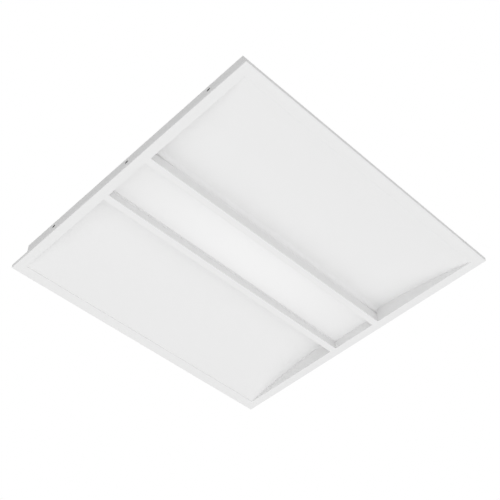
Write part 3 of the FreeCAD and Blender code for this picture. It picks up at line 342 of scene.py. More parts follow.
@dataclass(frozen=True)
class TurnedBrass:
    """Machined brass, a little tarnished.

    Attributes:
        colour: The bright metal's colour.
        roughness: Its mean roughness.
    """

    colour: Colour
    roughness: float

    def shader(self, graph: NodeGraph) -> Wire:
        """The metal as a shader in the given graph."""
        tarnish = graph.noise(3 * MM, 4.0)
        tool = graph.noise(0.2 * MM, 1.0, graph.stretched((0.1, 0.1, 1.0)))
        tone = graph.colour_mix(tarnish, self.colour, shade(self.colour, 0.72))
        rough = self.roughness + (tarnish - 0.5) * 0.2
        return graph.surface({"Base Color": tone, "Metallic": 1.0, "Roughness": rough,
                              "Normal": graph.bump(tool, 3e-6)})


@dataclass(frozen=True)
class SolderMask:
    """White mask over copper tracks that run along the board.

    Attributes:
        colour: The mask's colour.
        pitch: Distance from one track to the next, in metres.
        gap: The share of it that is bare between two tracks.
        lead_in: Whole pitches added so that the count is above zero all over the board.
    """

    colour: Colour
    pitch: float
    gap: float = 0.22
    lead_in: float = 100.0

    def shader(self, graph: NodeGraph) -> Wire:
        """The board's skin as a shader in the given graph."""
        parts = graph.node("ShaderNodeSeparateXYZ", None, {0: graph.place()})
        phase = graph.math("FRACT", graph.out(parts, "Y") * (1 / self.pitch) + self.lead_in)
        track = graph.math("GREATER_THAN", phase, self.gap)
        tone = graph.colour_mix(track, shade(self.colour, 0.93), self.colour)
        rough = 0.28 + graph.noise(2 * MM, 3.0) * 0.12
        return graph.surface({"Base Color": tone, "Roughness": rough, "Normal": graph.bump(track, 3e-5)})


@dataclass(frozen=True)
class PhosphorGel:
    """Yellow phosphor gel in the window of an LED package.

    Attributes:
        colour: The gel's colour.
    """

    colour: Colour

    def shader(self, graph: NodeGraph) -> Wire:
        """The gel as a shader in the given graph."""
        grain = graph.noise(0.1 * MM, 2.0)
        tone = graph.colour_mix(grain, shade(self.colour, 0.9), self.colour)
        return graph.surface({"Base Color": tone, "Roughness": 0.18 + grain * 0.1,
                              "Normal": graph.bump(grain, 5e-6), "Coat Weight": 0.5})


@dataclass(frozen=True)
class Moulding:
    """Injection-moulded plastic with spark-eroded texture.

    Attributes:
        colour: The plastic's colour.
        roughness: Its mean roughness.
        texture: Width of one grain of the texture, in metres.
    """

    colour: Colour
    roughness: float
    texture: float = 0.5 * MM

    def shader(self, graph: NodeGraph) -> Wire:
        """The plastic as a shader in the given graph."""
        grain = graph.noise(self.texture, 2.0)
        flow = graph.noise(20 * MM, 2.0)
        tone = graph.colour_mix(flow, shade(self.colour, 0.95), shade(self.colour, 1.02))
        rough = self.roughness + (flow - 0.5) * 0.12
        return graph.surface({"Base Color": tone, "Roughness": rough, "Normal": graph.bump(grain, 8e-6)})


@dataclass(frozen=True)
class SoftRubber:
    """Black rubber with a dull bloom.

    Attributes:
        colour: The rubber's colour.
    """

    colour: Colour

    def shader(self, graph: NodeGraph) -> Wire:
        """The rubber as a shader in the given graph."""
        bloom = graph.noise(4 * MM, 4.0)
        tone = graph.colour_mix(bloom * 0.5, self.colour, shade(self.colour, 2.6))
        return graph.surface({"Base Color": tone, "Roughness": 0.55 + bloom * 0.25,
                              "Normal": graph.bump(graph.noise(0.4 * MM, 2.0), 1e-5), "Sheen Weight": 0.1})


Finish = PowderCoat | OpalSheet | PlatedSteel | TurnedBrass | SolderMask | PhosphorGel | Moulding | SoftRubber

LENS_HALF_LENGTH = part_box("opal_lens")[1].x
FINISHES: dict[Slot, Finish] = {
    Slot.WHITE_COAT: PowderCoat((0.83, 0.83, 0.83), 0.42, 1.1 * MM, 0.007 * MM, 0.015),
    Slot.REFLECTOR_COAT: PowderCoat((0.84, 0.84, 0.84), 0.60, 0.7 * MM, 0.006 * MM, 0.010),
    # The opal's colour is kept low and the painted glow makes up the rest; its ends get painted shade.
    Slot.OPAL: OpalSheet((0.54, 0.54, 0.54), 0.34, 0.90, LENS_HALF_LENGTH, 0.38),
    Slot.ZINC: PlatedSteel((0.62, 0.63, 0.645), 0.36, 5 * MM),
    Slot.BRASS: TurnedBrass((0.80, 0.60, 0.28), 0.30),
    Slot.BOARD: SolderMask((0.84, 0.85, 0.84), 2.2 * MM),
    Slot.PHOSPHOR: PhosphorGel((0.90, 0.68, 0.10)),
    Slot.WHITE_PLASTIC: Moulding((0.76, 0.76, 0.74), 0.42),
    Slot.GREY_PLASTIC: Moulding((0.20, 0.21, 0.23), 0.45),
    Slot.DARK_PLASTIC: Moulding((0.022, 0.024, 0.027), 0.40),
    Slot.RUBBER: SoftRubber((0.012, 0.012, 0.012)),
    Slot.LEAD_WHITE: Moulding((0.70, 0.70, 0.68), 0.38, 0.8 * MM),
    Slot.LEAD_GREY: Moulding((0.14, 0.14, 0.145), 0.42, 0.8 * MM),
    Slot.LEAD_GREEN: Moulding((0.10, 0.30, 0.03), 0.40, 0.8 * MM),
}


class FinishShelf:
    """Makes each slot's material once and hands it out."""

    def __init__(self) -> None:
        """Start with nothing made."""
        self._made: dict[Slot, bpy.types.Material] = {}

    def material(self, slot: Slot) -> bpy.types.Material:
        """The material of a slot.

        Args:
            slot: One of the record's slots.

        Returns:
            Its material, made on first use.
        """
        if slot not in self._made:
            material = bpy.data.materials.new(f"{slot.value}_finish")
            material.use_nodes = True
            graph = NodeGraph(material.node_tree)
            graph.finish(FINISHES[slot].shader(graph))
            self._made[slot] = material
        return self._made[slot]

    def dress_frame(self) -> None:
        """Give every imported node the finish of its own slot."""
        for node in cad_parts.values():
            for holder in node.material_slots:
                holder.material = self.material(Slot(holder.material.name))


# ---------------------------------------------------------------- shapes
def merged_copy(node: str) -> bmesh.types.BMesh:
    """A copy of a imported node's mesh, with its loose triangles joined and its flat faces made whole."""
    shape = bmesh.new()
    shape.from_mesh(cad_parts[node].data)
    bmesh.ops.remove_doubles(shape, verts=shape.verts, dist=SAME_PLACE)
    bmesh.ops.dissolve_limit(shape, angle_limit=FLAT_ANGLE, verts=shape.verts, edges=shape.edges)
    return shape


def solid_boxes(node: str) -> list[Box]:
    """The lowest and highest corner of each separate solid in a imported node.

    Args:
        node: The node's name.

    Returns:
        One pair of corners for each solid, sorted along X, then along Y.
    """
    shape = merged_copy(node)
    waiting = set(shape.verts)
    boxes = []
    while waiting:
        front = [waiting.pop()]
        island = list(front)
        while front:
            vert = front.pop()
            near = {edge.other_vert(vert) for edge in vert.link_edges} & waiting
            waiting -= near
            front.extend(near)
            island.extend(near)
        columns = list(zip(*(vert.co for vert in island)))
        boxes.append((Vector(map(min, columns)), Vector(map(max, columns))))
    shape.free()
    return sorted(boxes, key=lambda box: (round(box[0].x, 4), round(box[0].y, 4)))


def turned(profile: Sequence[tuple[float, float]], steps: int = 24) -> bmesh.types.BMesh:
    """A shape turned about Z.

    Args:
        profile: Radius and height of each corner, starting and ending on the axis.
        steps: How many flats go round.

    Returns:
        The closed shape, with its faces pointing outwards.
    """
    shape = bmesh.new()
    verts = [shape.verts.new((radius, 0, height)) for radius, height in profile]
    edges = [shape.edges.new(pair) for pair in zip(verts, verts[1:])]
    bmesh.ops.spin(shape, geom=verts + edges, cent=(0, 0, 0), axis=(0, 0, 1), angle=FULL_TURN,
                   steps=steps, use_merge=True)
    bmesh.ops.remove_doubles(shape, verts=shape.verts, dist=SAME_PLACE)
    bmesh.ops.recalc_face_normals(shape, faces=shape.faces)
    return shape


def scaled(outline: Profile, radius: float, height: float) -> list[tuple[float, float]]:
    """An outline given as shares, at its real size."""
    return [(share * radius, rise * height) for share, rise in outline]


def block(low: Vector, high: Vector) -> bmesh.types.BMesh:
    """A block between two corners."""
    shape = bmesh.new()
    bmesh.ops.create_cube(shape, size=1.0)
    bmesh.ops.scale(shape, verts=shape.verts, vec=high - low)
    bmesh.ops.translate(shape, verts=shape.verts, vec=(low + high) / 2)
    return shape


def stamped(template: bmesh.types.BMesh, places: Sequence[Matrix]) -> bmesh.types.BMesh:
    """The same shape at several places.

    Args:
        template: The shape about the origin, which is used up.
        places: Where each copy goes.

    Returns:
        All copies in one shape.
    """
    mesh = bpy.data.meshes.new("template")
    template.to_mesh(mesh)
    template.free()
    shape = bmesh.new()
    for place in places:
        shape.from_mesh(mesh)
        shape.verts.ensure_lookup_table()
        bmesh.ops.transform(shape, matrix=place, verts=shape.verts[-len(mesh.vertices):])
    bpy.data.meshes.remove(mesh)
    return shape


def gathered(parts: Sequence[bmesh.types.BMesh]) -> bmesh.types.BMesh:
    """Several shapes in one, which uses them up."""
    shape = bmesh.new()
    for part in parts:
        mesh = bpy.data.meshes.new("part")
        part.to_mesh(mesh)
        part.free()
        shape.from_mesh(mesh)
        bpy.data.meshes.remove(mesh)
    return shape


def soften(shape: bmesh.types.BMesh, width: float, pick: EdgeTest | None = None, segments: int = 2) -> None:
    """Round sharp edges.

    Args:
        shape: The shape to change.
        width: How wide the rounding is.
        pick: Which of the sharp edges to round; all of them if it is left out.
        segments: How many flats make the rounding.
    """
    edges = [edge for edge in shape.edges
             if edge.is_manifold and edge.calc_face_angle() > SHARP_ANGLE and (pick is None or pick(edge))]
    bmesh.ops.bevel(shape, geom=edges, offset=width, offset_type="OFFSET", segments=segments, profile=0.5,
                    affect="EDGES", material=-1, clamp_overlap=True)


def stands(edge: bmesh.types.BMEdge) -> bool:
    """Whether an edge runs along Z."""
    run = edge.verts[1].co - edge.verts[0].co
    return abs(run.z) > LEVEL * run.length


def facing(shape: bmesh.types.BMesh, side: Vector, least: float = SAME_WAY) -> list[bmesh.types.BMFace]:
    """The faces that point to one side.

    Args:
        shape: The shape that they belong to.
        side: The direction, along one axis.
        least: How closely they keep to it, where 1 is exactly.

    Returns:
        Those faces.
    """
    return [face for face in shape.faces if face.normal.dot(side) > least]


def score(shape: bmesh.types.BMesh, faces: Sequence[bmesh.types.BMFace], axis: int, place: float) -> None:
    """Cut some faces in two along a plane square to one axis.

    Args:
        shape: The shape to change.
        faces: The faces to cut.
        axis: 0, 1 or 2 for X, Y or Z.
        place: Where the plane crosses that axis.
    """
    parts = dict.fromkeys(item for face in faces for item in (face, *face.edges, *face.verts))
    plane = Vector((0, 0, 0))
    plane[axis] = 1.0
    bmesh.ops.bisect_plane(shape, geom=list(parts), dist=SAME_PLACE, plane_co=plane * place, plane_no=plane)


def push_in(shape: bmesh.types.BMesh, faces: Sequence[bmesh.types.BMFace], side: Vector, depth: float,
            taper: float, middle: Vector) -> None:
    """Push faces into a shape, so that they become the floor of a pocket.

    Args:
        shape: The shape to change.
        faces: The faces that lie side by side.
        side: The direction that they point in.
        depth: How far they go in.
        taper: Size of the pocket's floor as a share of its mouth.
        middle: The point that the floor shrinks towards.
    """
    moved = bmesh.ops.extrude_face_region(shape, geom=list(faces))["geom"]
    floor = [item for item in moved if isinstance(item, bmesh.types.BMVert)]
    along = Vector(tuple(taper if abs(part) < SAME_WAY else 1.0 for part in side))
    bmesh.ops.scale(shape, verts=floor, vec=along, space=Matrix.Translation(-middle))
    bmesh.ops.translate(shape, verts=floor, vec=-depth * side)
    stray = [face for face in faces if face.is_valid]
    if stray:
        bmesh.ops.delete(shape, geom=stray, context="FACES")


def sink(shape: bmesh.types.BMesh, side: Vector, windows: Sequence[Box], depth: float,
         taper: float) -> None:
    """Sink pockets into the flat faces on one side of a shape.

    Args:
        shape: The shape to change.
        side: The direction that those faces point in, along one axis.
        windows: The lowest and highest corner of each pocket's mouth.
        depth: How far each pocket goes in.
        taper: Size of a pocket's floor as a share of its mouth.
    """
    axes = [axis for axis in range(3) if abs(side[axis]) < SAME_WAY]
    for low, high in windows:
        for axis in axes:
            for place in (low[axis], high[axis]):
                score(shape, facing(shape, side), axis, place)
        inside = [face for face in facing(shape, side)
                  if all(low[axis] < face.calc_center_median()[axis] < high[axis] for axis in axes)]
        push_in(shape, inside, side, depth, taper, (low + high) / 2)


def groove(shape: bmesh.types.BMesh, axis: int, place: float, width: float, depth: float) -> None:
    """Run a groove round a shape, square to one axis.

    Args:
        shape: The shape to change.
        axis: 0, 1 or 2 for X, Y or Z.
        place: Where the groove's middle lies on that axis.
        width: Its width.
        depth: Its depth.
    """
    for edge in (place - width / 2, place + width / 2):
        score(shape, shape.faces[:], axis, edge)
    ring = [face for face in shape.faces
            if abs(face.calc_center_median()[axis] - place) < width / 2 and abs(face.normal[axis]) < SAME_WAY]
    bmesh.ops.inset_region(shape, faces=ring, thickness=width * GROOVE_WALL, depth=-depth,
                           use_even_offset=True)


def wire_tube(points: Sequence[Sequence[float]], radius: float) -> bmesh.types.BMesh:
    """A round wire along a smooth line.

    Args:
        points: Control points of the line, in metres.
        radius: The wire's radius.

    Returns:
        The wire, closed at both ends.
    """
    data = bpy.data.curves.new("route", "CURVE")
    data.dimensions = "3D"
    spline = data.splines.new("NURBS")
    spline.points.add(len(points) - 1)
    for place, point in zip(points, spline.points):
        point.co = (*place, 1.0)
    spline.order_u = 3
    spline.use_endpoint_u = True
    spline.resolution_u = 8
    data.bevel_depth = radius
    data.bevel_resolution = 4
    data.use_fill_caps = True
    holder = bpy.data.objects.new("route", data)
    mesh = bpy.data.meshes.new_from_object(holder)
    shape = bmesh.new()
    shape.from_mesh(mesh)
    bmesh.ops.remove_doubles(shape, verts=shape.verts, dist=SAME_PLACE)
    bmesh.ops.recalc_face_normals(shape, faces=shape.faces)
    bpy.data.meshes.remove(mesh)
    bpy.data.objects.remove(holder)
    bpy.data.curves.remove(data)
    return shape


@dataclass
class SubAssembly:
    """What every sub-assembly shares: where finishes come from and how a piece is handed over.

    Attributes:
        shelf: The finishes.
    """

    shelf: FinishShelf

    def hand_over(self, name: str, shape: bmesh.types.BMesh, slot: Slot, body: Body = Body.HOUSING,
                  stands_for: Sequence[str] = ()) -> bpy.types.Object:
        """Make a piece of a finished shape, which is used up.

        Args:
            name: The piece's name.
            shape: Its shape, in the row frame.
            slot: The slot that it takes its finish from.
            body: The body that it rides on.
            stands_for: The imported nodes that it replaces.

        Returns:
            The piece.
        """
        mesh = bpy.data.meshes.new(name)
        shape.to_mesh(mesh)
        shape.free()
        if "custom_normal" in mesh.attributes:
            mesh.attributes.remove(mesh.attributes["custom_normal"])
        mesh.shade_smooth()
        mesh.set_sharp_from_angle(angle=SHARP_ANGLE)
        mesh.materials.clear()
        mesh.materials.append(self.shelf.material(slot))
        piece = bpy.data.objects.new(name, mesh)
        bpy.context.scene.collection.objects.link(piece)
        even = piece.modifiers.new("even_normals", "WEIGHTED_NORMAL")
        even.weight = 100
        even.keep_sharp = True
        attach(piece, body.value)
        if stands_for:
            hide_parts(*stands_for)
        LOG.info("%s: %d faces on %s", name, len(mesh.polygons), body.value)
        return piece


# ---------------------------------------------------------------- sub-assemblies
@dataclass
class SheetMetal(SubAssembly):
    """Folded steel, shaded so that its bends are smooth.

    Attributes:
        coated: Powder-coated nodes.
        zinced: Plated nodes.
    """

    coated: tuple[str, ...] = ("face_frame", "housing_pan", "end_cap_front", "end_cap_rear",
                               "end_cheek_front", "end_cheek_rear", "lens_rail_left",
                               "lens_rail_right", "gear_box")
    zinced: tuple[str, ...] = ("led_tray", "suspension_straps", "driver_base", "cable_clamp")

    def build(self) -> None:
        """Make every folded piece, and the cover on its own body."""
        for node in self.coated:
            self._fold(node, Slot.WHITE_COAT, Body.HOUSING)
        self._fold("gear_box_cover", Slot.WHITE_COAT, Body.COVER)
        for node in self.zinced:
            self._fold(node, Slot.ZINC, Body.HOUSING)

    def _fold(self, node: str, slot: Slot, body: Body) -> None:
        """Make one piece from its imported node.

        Args:
            node: The node that it stands for.
            slot: Its finish.
            body: The body that it rides on.
        """
        self.hand_over(f"{node}_sheet", merged_copy(node), slot, body, (node,))


@dataclass
class Reflectors(SubAssembly):
    """The two curved wings, which run from the rim to the lens rails.

    Attributes:
        end_gap: What is left between a wing and the cheek at its end.
        lap_band: Thickness of the lap, with some to spare.
        lap_foot: Height of the lap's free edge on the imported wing.
        lap_trim: How much higher it ends here, where the photograph shows it.
        lift: How far the lap's free edge stands off the rail at its very end.
        lift_length: How far in from each end the lap lifts.
        lift_steps: How many stretches the lifting part is cut into.
    """

    end_gap: float = 0.05 * MM
    lap_band: float = 0.7 * MM
    lap_foot: float = 15.0 * MM
    lap_trim: float = 5.5 * MM
    lift: float = 1.0 * MM
    lift_length: float = 70 * MM
    lift_steps: int = 7

    def build(self) -> None:
        """Make both wings."""
        for side in ("left", "right"):
            node = f"wing_reflector_{side}"
            shape = merged_copy(node)
            self._reach_cheeks(shape)
            self._lift_lap(shape, node)
            self.hand_over(f"curved_wing_{side}", shape, Slot.REFLECTOR_COAT, stands_for=(node,))

    def _reach_cheeks(self, shape: bmesh.types.BMesh) -> None:
        """Bring a wing's two ends up to the cheeks."""
        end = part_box("end_cheek_rear")[0].x - self.end_gap
        for vert in shape.verts:
            vert.co.x = math.copysign(end, vert.co.x)

    def _lift_lap(self, shape: bmesh.types.BMesh, node: str) -> None:
        """End the lap where the photograph shows it, and let it spring off the rail near both ends.

        Args:
            shape: The wing.
            node: The wing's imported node.
        """
        inner = min(abs(corner.y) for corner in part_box(node))
        end = max(vert.co.x for vert in shape.verts)
        step = self.lift_length / self.lift_steps
        for count in range(1, self.lift_steps + 1):
            for place in (count * step - end, end - count * step):
                score(shape, shape.faces[:], 0, place)
        for vert in shape.verts:
            share = (abs(vert.co.x) - end + self.lift_length) / self.lift_length
            if vert.co.z < self.lap_foot + self.lap_band and abs(vert.co.y) < inner + self.lap_band:
                vert.co.z += self.lap_trim
                vert.co.y += math.copysign(self.lift * max(share, 0.0) ** 2, vert.co.y)


@dataclass
class Diffuser(SubAssembly):
    """The opal sheet, with eased edges.

    Attributes:
        edge: Width of the rounding on its cut edges.
        end_gap: What is left between the sheet and the cheek at its end.
    """

    edge: float = 0.3 * MM
    end_gap: float = 0.2 * MM

    def build(self) -> None:
        """Make the sheet."""
        low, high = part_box("opal_lens")
        high.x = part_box("end_cheek_rear")[0].x - self.end_gap
        low.x = -high.x
        shape = block(low, high)
        soften(shape, self.edge)
        self.hand_over("opal_sheet", shape, Slot.OPAL, Body.LENS, ("opal_lens",))


@dataclass
class Fasteners(SubAssembly):
    """Cross-recessed pan screws, domed rivets and weld marks.

    Attributes:
        head_radius: A screw head's radius.
        head_height: Its height.
        crown: The head's outline, as shares of its radius and height.
        shank_radius: Outer radius of the thread.
        thread_depth: Its depth.
        pitch: Distance from one turn of the thread to the next.
        arm: Half of the recess's span.
        arm_width: Width of one arm of the recess.
        recess_depth: How deep the recess is.
        recess_floor: Size of its floor as a share of its mouth.
        recess_turn: How far each next screw is turned, in radians, as hand-driven ones are.
        rivet_head: Radius of a rivet's head.
        rivet_rise: Height of its dome.
        rivet_shank: Radius of its shank.
        dome_steps: How many stretches of the dome's outline go from its top to its rim.
        dimple: Outline of the mark in its top, as shares of the head's radius and height.
        rivet_taper: Share of the shank's length that is straight, and of its radius at the tip.
        weld_radius: Radius of a spot weld's mark.
        weld_rise: Height of the ring round it.
        weld_outline: The mark's outline, as shares of its radius and height.
        weld_steps: How many flats go round it.
        weld_row: Half of the distance between the two marks on a strap's foot.
        foot_middle: Distance from a strap's middle to the middle of its foot.
        strap_gauge: Thickness of a strap's sheet.
    """

    head_radius: float = 2.75 * MM
    head_height: float = 1.8 * MM
    crown: Profile = ((0.0, 1.0), (0.72, 1.0), (0.88, 0.90), (0.97, 0.66), (1.0, 0.35), (0.98, 0.0))
    shank_radius: float = 1.5 * MM
    thread_depth: float = 0.22 * MM
    pitch: float = 0.6 * MM
    arm: float = 1.55 * MM
    arm_width: float = 0.85 * MM
    recess_depth: float = 1.0 * MM
    recess_floor: float = 0.5
    recess_turn: float = 1.1
    rivet_head: float = 3.2 * MM
    rivet_rise: float = 1.0 * MM
    rivet_shank: float = 1.6 * MM
    dome_steps: int = 6
    dimple: Profile = ((0.0, 0.72), (0.24, 0.74))
    rivet_taper: float = 0.7
    weld_radius: float = 2.2 * MM
    weld_rise: float = 0.14 * MM
    weld_outline: Profile = ((0.0, 0.4), (0.5, 0.3), (0.7, 1.0), (0.9, 0.7), (1.0, 0.0), (0.0, 0.0))
    weld_steps: int = 16
    weld_row: float = 4.0 * MM
    foot_middle: float = 21.0 * MM
    strap_gauge: float = 1.2 * MM

    def build(self) -> None:
        """Make all screws, rivets and weld marks."""
        for node, head_up in (("end_cap_screws", True), ("gear_box_screws", True),
                              ("tray_screws", False), ("board_screws", False)):
            self._build_screws(node, head_up)
        self._build_rivets("gear_box_rivets")
        self._build_welds()

    def _build_screws(self, node: str, head_up: bool) -> None:
        """Make the screws of one node.

        Args:
            node: The node of plain screws.
            head_up: Whether their heads are at the top.
        """
        boxes = solid_boxes(node)
        length = boxes[0][1].z - boxes[0][0].z - self.head_height
        turn = Matrix.Identity(4) if head_up else Matrix.Rotation(math.pi, 4, "X")
        places = []
        for count, (low, high) in enumerate(boxes):
            seat = high.z - self.head_height if head_up else low.z + self.head_height
            spot = Vector(((low.x + high.x) / 2, (low.y + high.y) / 2, seat))
            places.append(Matrix.Translation(spot) @ Matrix.Rotation(count * self.recess_turn, 4, "Z") @ turn)
        self.hand_over(f"cross_{node}", stamped(self._screw(length), places), Slot.ZINC, stands_for=(node,))

    def _screw(self, length: float) -> bmesh.types.BMesh:
        """One screw that stands on Z with its seat at the origin.

        Args:
            length: Length under the head.

        Returns:
            The screw.
        """
        shank = self.shank_radius
        turns = int((length - self.pitch) / self.pitch)
        thread = [(shank, 0.0)]
        for count in range(turns):
            thread.append((shank, -(count + 0.5) * self.pitch))
            thread.append((shank - self.thread_depth, -(count + 1.0) * self.pitch))
        tip = [(shank - self.thread_depth, -length), (0.0, -length)]
        shape = turned(scaled(self.crown, self.head_radius, self.head_height) + thread + tip)
        bmesh.ops.dissolve_faces(shape, faces=facing(shape, UP, LEVEL))
        self._cut_cross(shape)
        return shape

    def _cut_cross(self, shape: bmesh.types.BMesh) -> None:
        """Sink the cross recess into a screw's crown."""
        for axis in (0, 1):
            for place in (-self.arm, -self.arm_width / 2, self.arm_width / 2, self.arm):
                score(shape, facing(shape, UP, LEVEL), axis, place)
        inside = []
        for face in facing(shape, UP, LEVEL):
            middle = face.calc_center_median()
            near, far = sorted((abs(middle.x), abs(middle.y)))
            if near < self.arm_width / 2 and far < self.arm:
                inside.append(face)
        push_in(shape, inside, UP, self.recess_depth, self.recess_floor, Vector((0, 0, 0)))

    def _build_rivets(self, node: str) -> None:
        """Make the rivets of one node."""
        boxes = solid_boxes(node)
        grip = boxes[0][1].z - boxes[0][0].z - self.rivet_rise
        angles = [step * math.pi / 2 / self.dome_steps for step in range(2, self.dome_steps)]
        dome = self.dimple + tuple((math.sin(angle), math.cos(angle)) for angle in angles)
        foot = [(self.rivet_head, 0.0), (self.rivet_shank, 0.0),
                (self.rivet_shank, -self.rivet_taper * grip), (self.rivet_taper * self.rivet_shank, -grip),
                (0.0, -grip)]
        places = [Matrix.Translation(((low.x + high.x) / 2, (low.y + high.y) / 2, high.z - self.rivet_rise))
                  for low, high in boxes]
        rivet = turned(scaled(dome, self.rivet_head, self.rivet_rise) + foot)
        self.hand_over("domed_rivets", stamped(rivet, places), Slot.ZINC, stands_for=(node,))

    def _build_welds(self) -> None:
        """Make the electrode marks on the feet of the suspension straps."""
        mark = turned(scaled(self.weld_outline, self.weld_radius, self.weld_rise), self.weld_steps)
        places = []
        for low, high in solid_boxes("suspension_straps"):
            middle = (low + high) / 2
            for foot in (-self.foot_middle, self.foot_middle):
                for row in (-self.weld_row, self.weld_row):
                    spot = Vector((middle.x + foot, middle.y + row, low.z + self.strap_gauge))
                    places.append(Matrix.Translation(spot))
        self.hand_over("weld_marks", stamped(mark, places), Slot.ZINC)


@dataclass
class LightBoards(SubAssembly):
    """The LED packages, their solder, and the boards' connectors.

    Attributes:
        package_edge: Bevel of a package's upright edges.
        frame_width: Width of the moulded frame round a package's window.
        window_sink: How deep the window lies.
        window_slope: How far its walls lean in, as a share of the frame's width.
        gel_inset: How far the gel keeps off the package's sides, as a share of the frame's width.
        gel_edge: Rounding of the gel's corners.
        gel_rise: How far the gel's face stands over the window's floor.
        solder_lap: How far a solder fillet reaches into the package's side.
        solder_out: How far it reaches out from there.
        solder_top: The share of its reach that is left at its free face.
        solder_width: Its width.
        solder_rise: Its height.
        connector_edge: Rounding of a connector's edges.
        latch: Length and width of the latch windows in a connector.
        latch_offset: Distance of each window from the connector's middle.
        latch_depth: How deep they are.
        latch_floor: Size of a window's floor as a share of its mouth.
    """

    package_edge: float = 0.12 * MM
    frame_width: float = 0.32 * MM
    window_sink: float = 0.20 * MM
    window_slope: float = 0.3
    gel_inset: float = 1.25
    gel_edge: float = 0.3 * MM
    gel_rise: float = 0.15 * MM
    solder_lap: float = 0.05 * MM
    solder_out: float = 0.35 * MM
    solder_top: float = 0.2
    solder_width: float = 2.0 * MM
    solder_rise: float = 0.35 * MM
    connector_edge: float = 0.35 * MM
    latch: tuple[float, float] = (5.0 * MM, 2.4 * MM)
    latch_offset: float = 2.4 * MM
    latch_depth: float = 0.8 * MM
    latch_floor: float = 0.85

    def build(self) -> None:
        """Make the packages, the gel, the solder and the connectors."""
        boxes = solid_boxes("led_chips")
        low, high = boxes[0]
        size = high - low
        places = [Matrix.Translation((low + high) / 2) for low, high in boxes]
        self.hand_over("led_packages", stamped(self._package(size), places), Slot.WHITE_PLASTIC,
                       stands_for=("led_chips",))
        self.hand_over("phosphor_windows", stamped(self._gel(size), places), Slot.PHOSPHOR)
        self.hand_over("solder_fillets", stamped(self._solder(size), places), Slot.ZINC)
        connectors = [self._connector(box) for box in solid_boxes("board_connectors")]
        self.hand_over("push_in_connectors", gathered(connectors), Slot.WHITE_PLASTIC,
                       stands_for=("board_connectors",))

    def _package(self, size: Vector) -> bmesh.types.BMesh:
        """One moulded package about the origin, with its window facing down."""
        shape = block(-size / 2, size / 2)
        soften(shape, self.package_edge, stands, 1)
        face = min(shape.faces, key=lambda one: one.calc_center_median().z)
        bmesh.ops.inset_region(shape, faces=[face], thickness=self.frame_width, use_even_offset=True)
        bmesh.ops.inset_region(shape, faces=[face], thickness=self.window_slope * self.frame_width,
                               depth=-self.window_sink, use_even_offset=True)
        return shape

    def _gel(self, size: Vector) -> bmesh.types.BMesh:
        """The gel in one window, about the origin."""
        half = size.x / 2 - self.gel_inset * self.frame_width
        floor = -size.z / 2 + self.window_sink
        shape = block(Vector((-half, -half, floor - self.gel_rise)), Vector((half, half, floor)))
        soften(shape, self.gel_edge, stands)
        return shape

    def _solder(self, size: Vector) -> bmesh.types.BMesh:
        """The two solder fillets beside one package."""
        fillets = []
        for side in (-1, 1):
            inner = side * (size.x / 2 - self.solder_lap)
            outer = side * (size.x / 2 + self.solder_out)
            near, far = sorted((inner, outer))
            foot = size.z / 2 - self.solder_rise
            shape = block(Vector((near, -self.solder_width / 2, foot)),
                          Vector((far, self.solder_width / 2, size.z / 2)))
            for vert in shape.verts:
                if vert.co.z < foot + self.solder_rise / 2:
                    vert.co.x = inner + self.solder_top * (vert.co.x - inner)
            fillets.append(shape)
        return gathered(fillets)

    def _connector(self, box: Box) -> bmesh.types.BMesh:
        """One push-in connector with two latch windows in its face."""
        low, high = box
        shape = block(low, high)
        soften(shape, self.connector_edge)
        half_long, half_wide = self.latch[0] / 2, self.latch[1] / 2
        middle = (low + high) / 2
        windows = [(Vector((middle.x - half_long, middle.y + side - half_wide, low.z)),
                    Vector((middle.x + half_long, middle.y + side + half_wide, low.z)))
                   for side in (-self.latch_offset, self.latch_offset)]
        sink(shape, -UP, windows, self.latch_depth, self.latch_floor)
        return shape


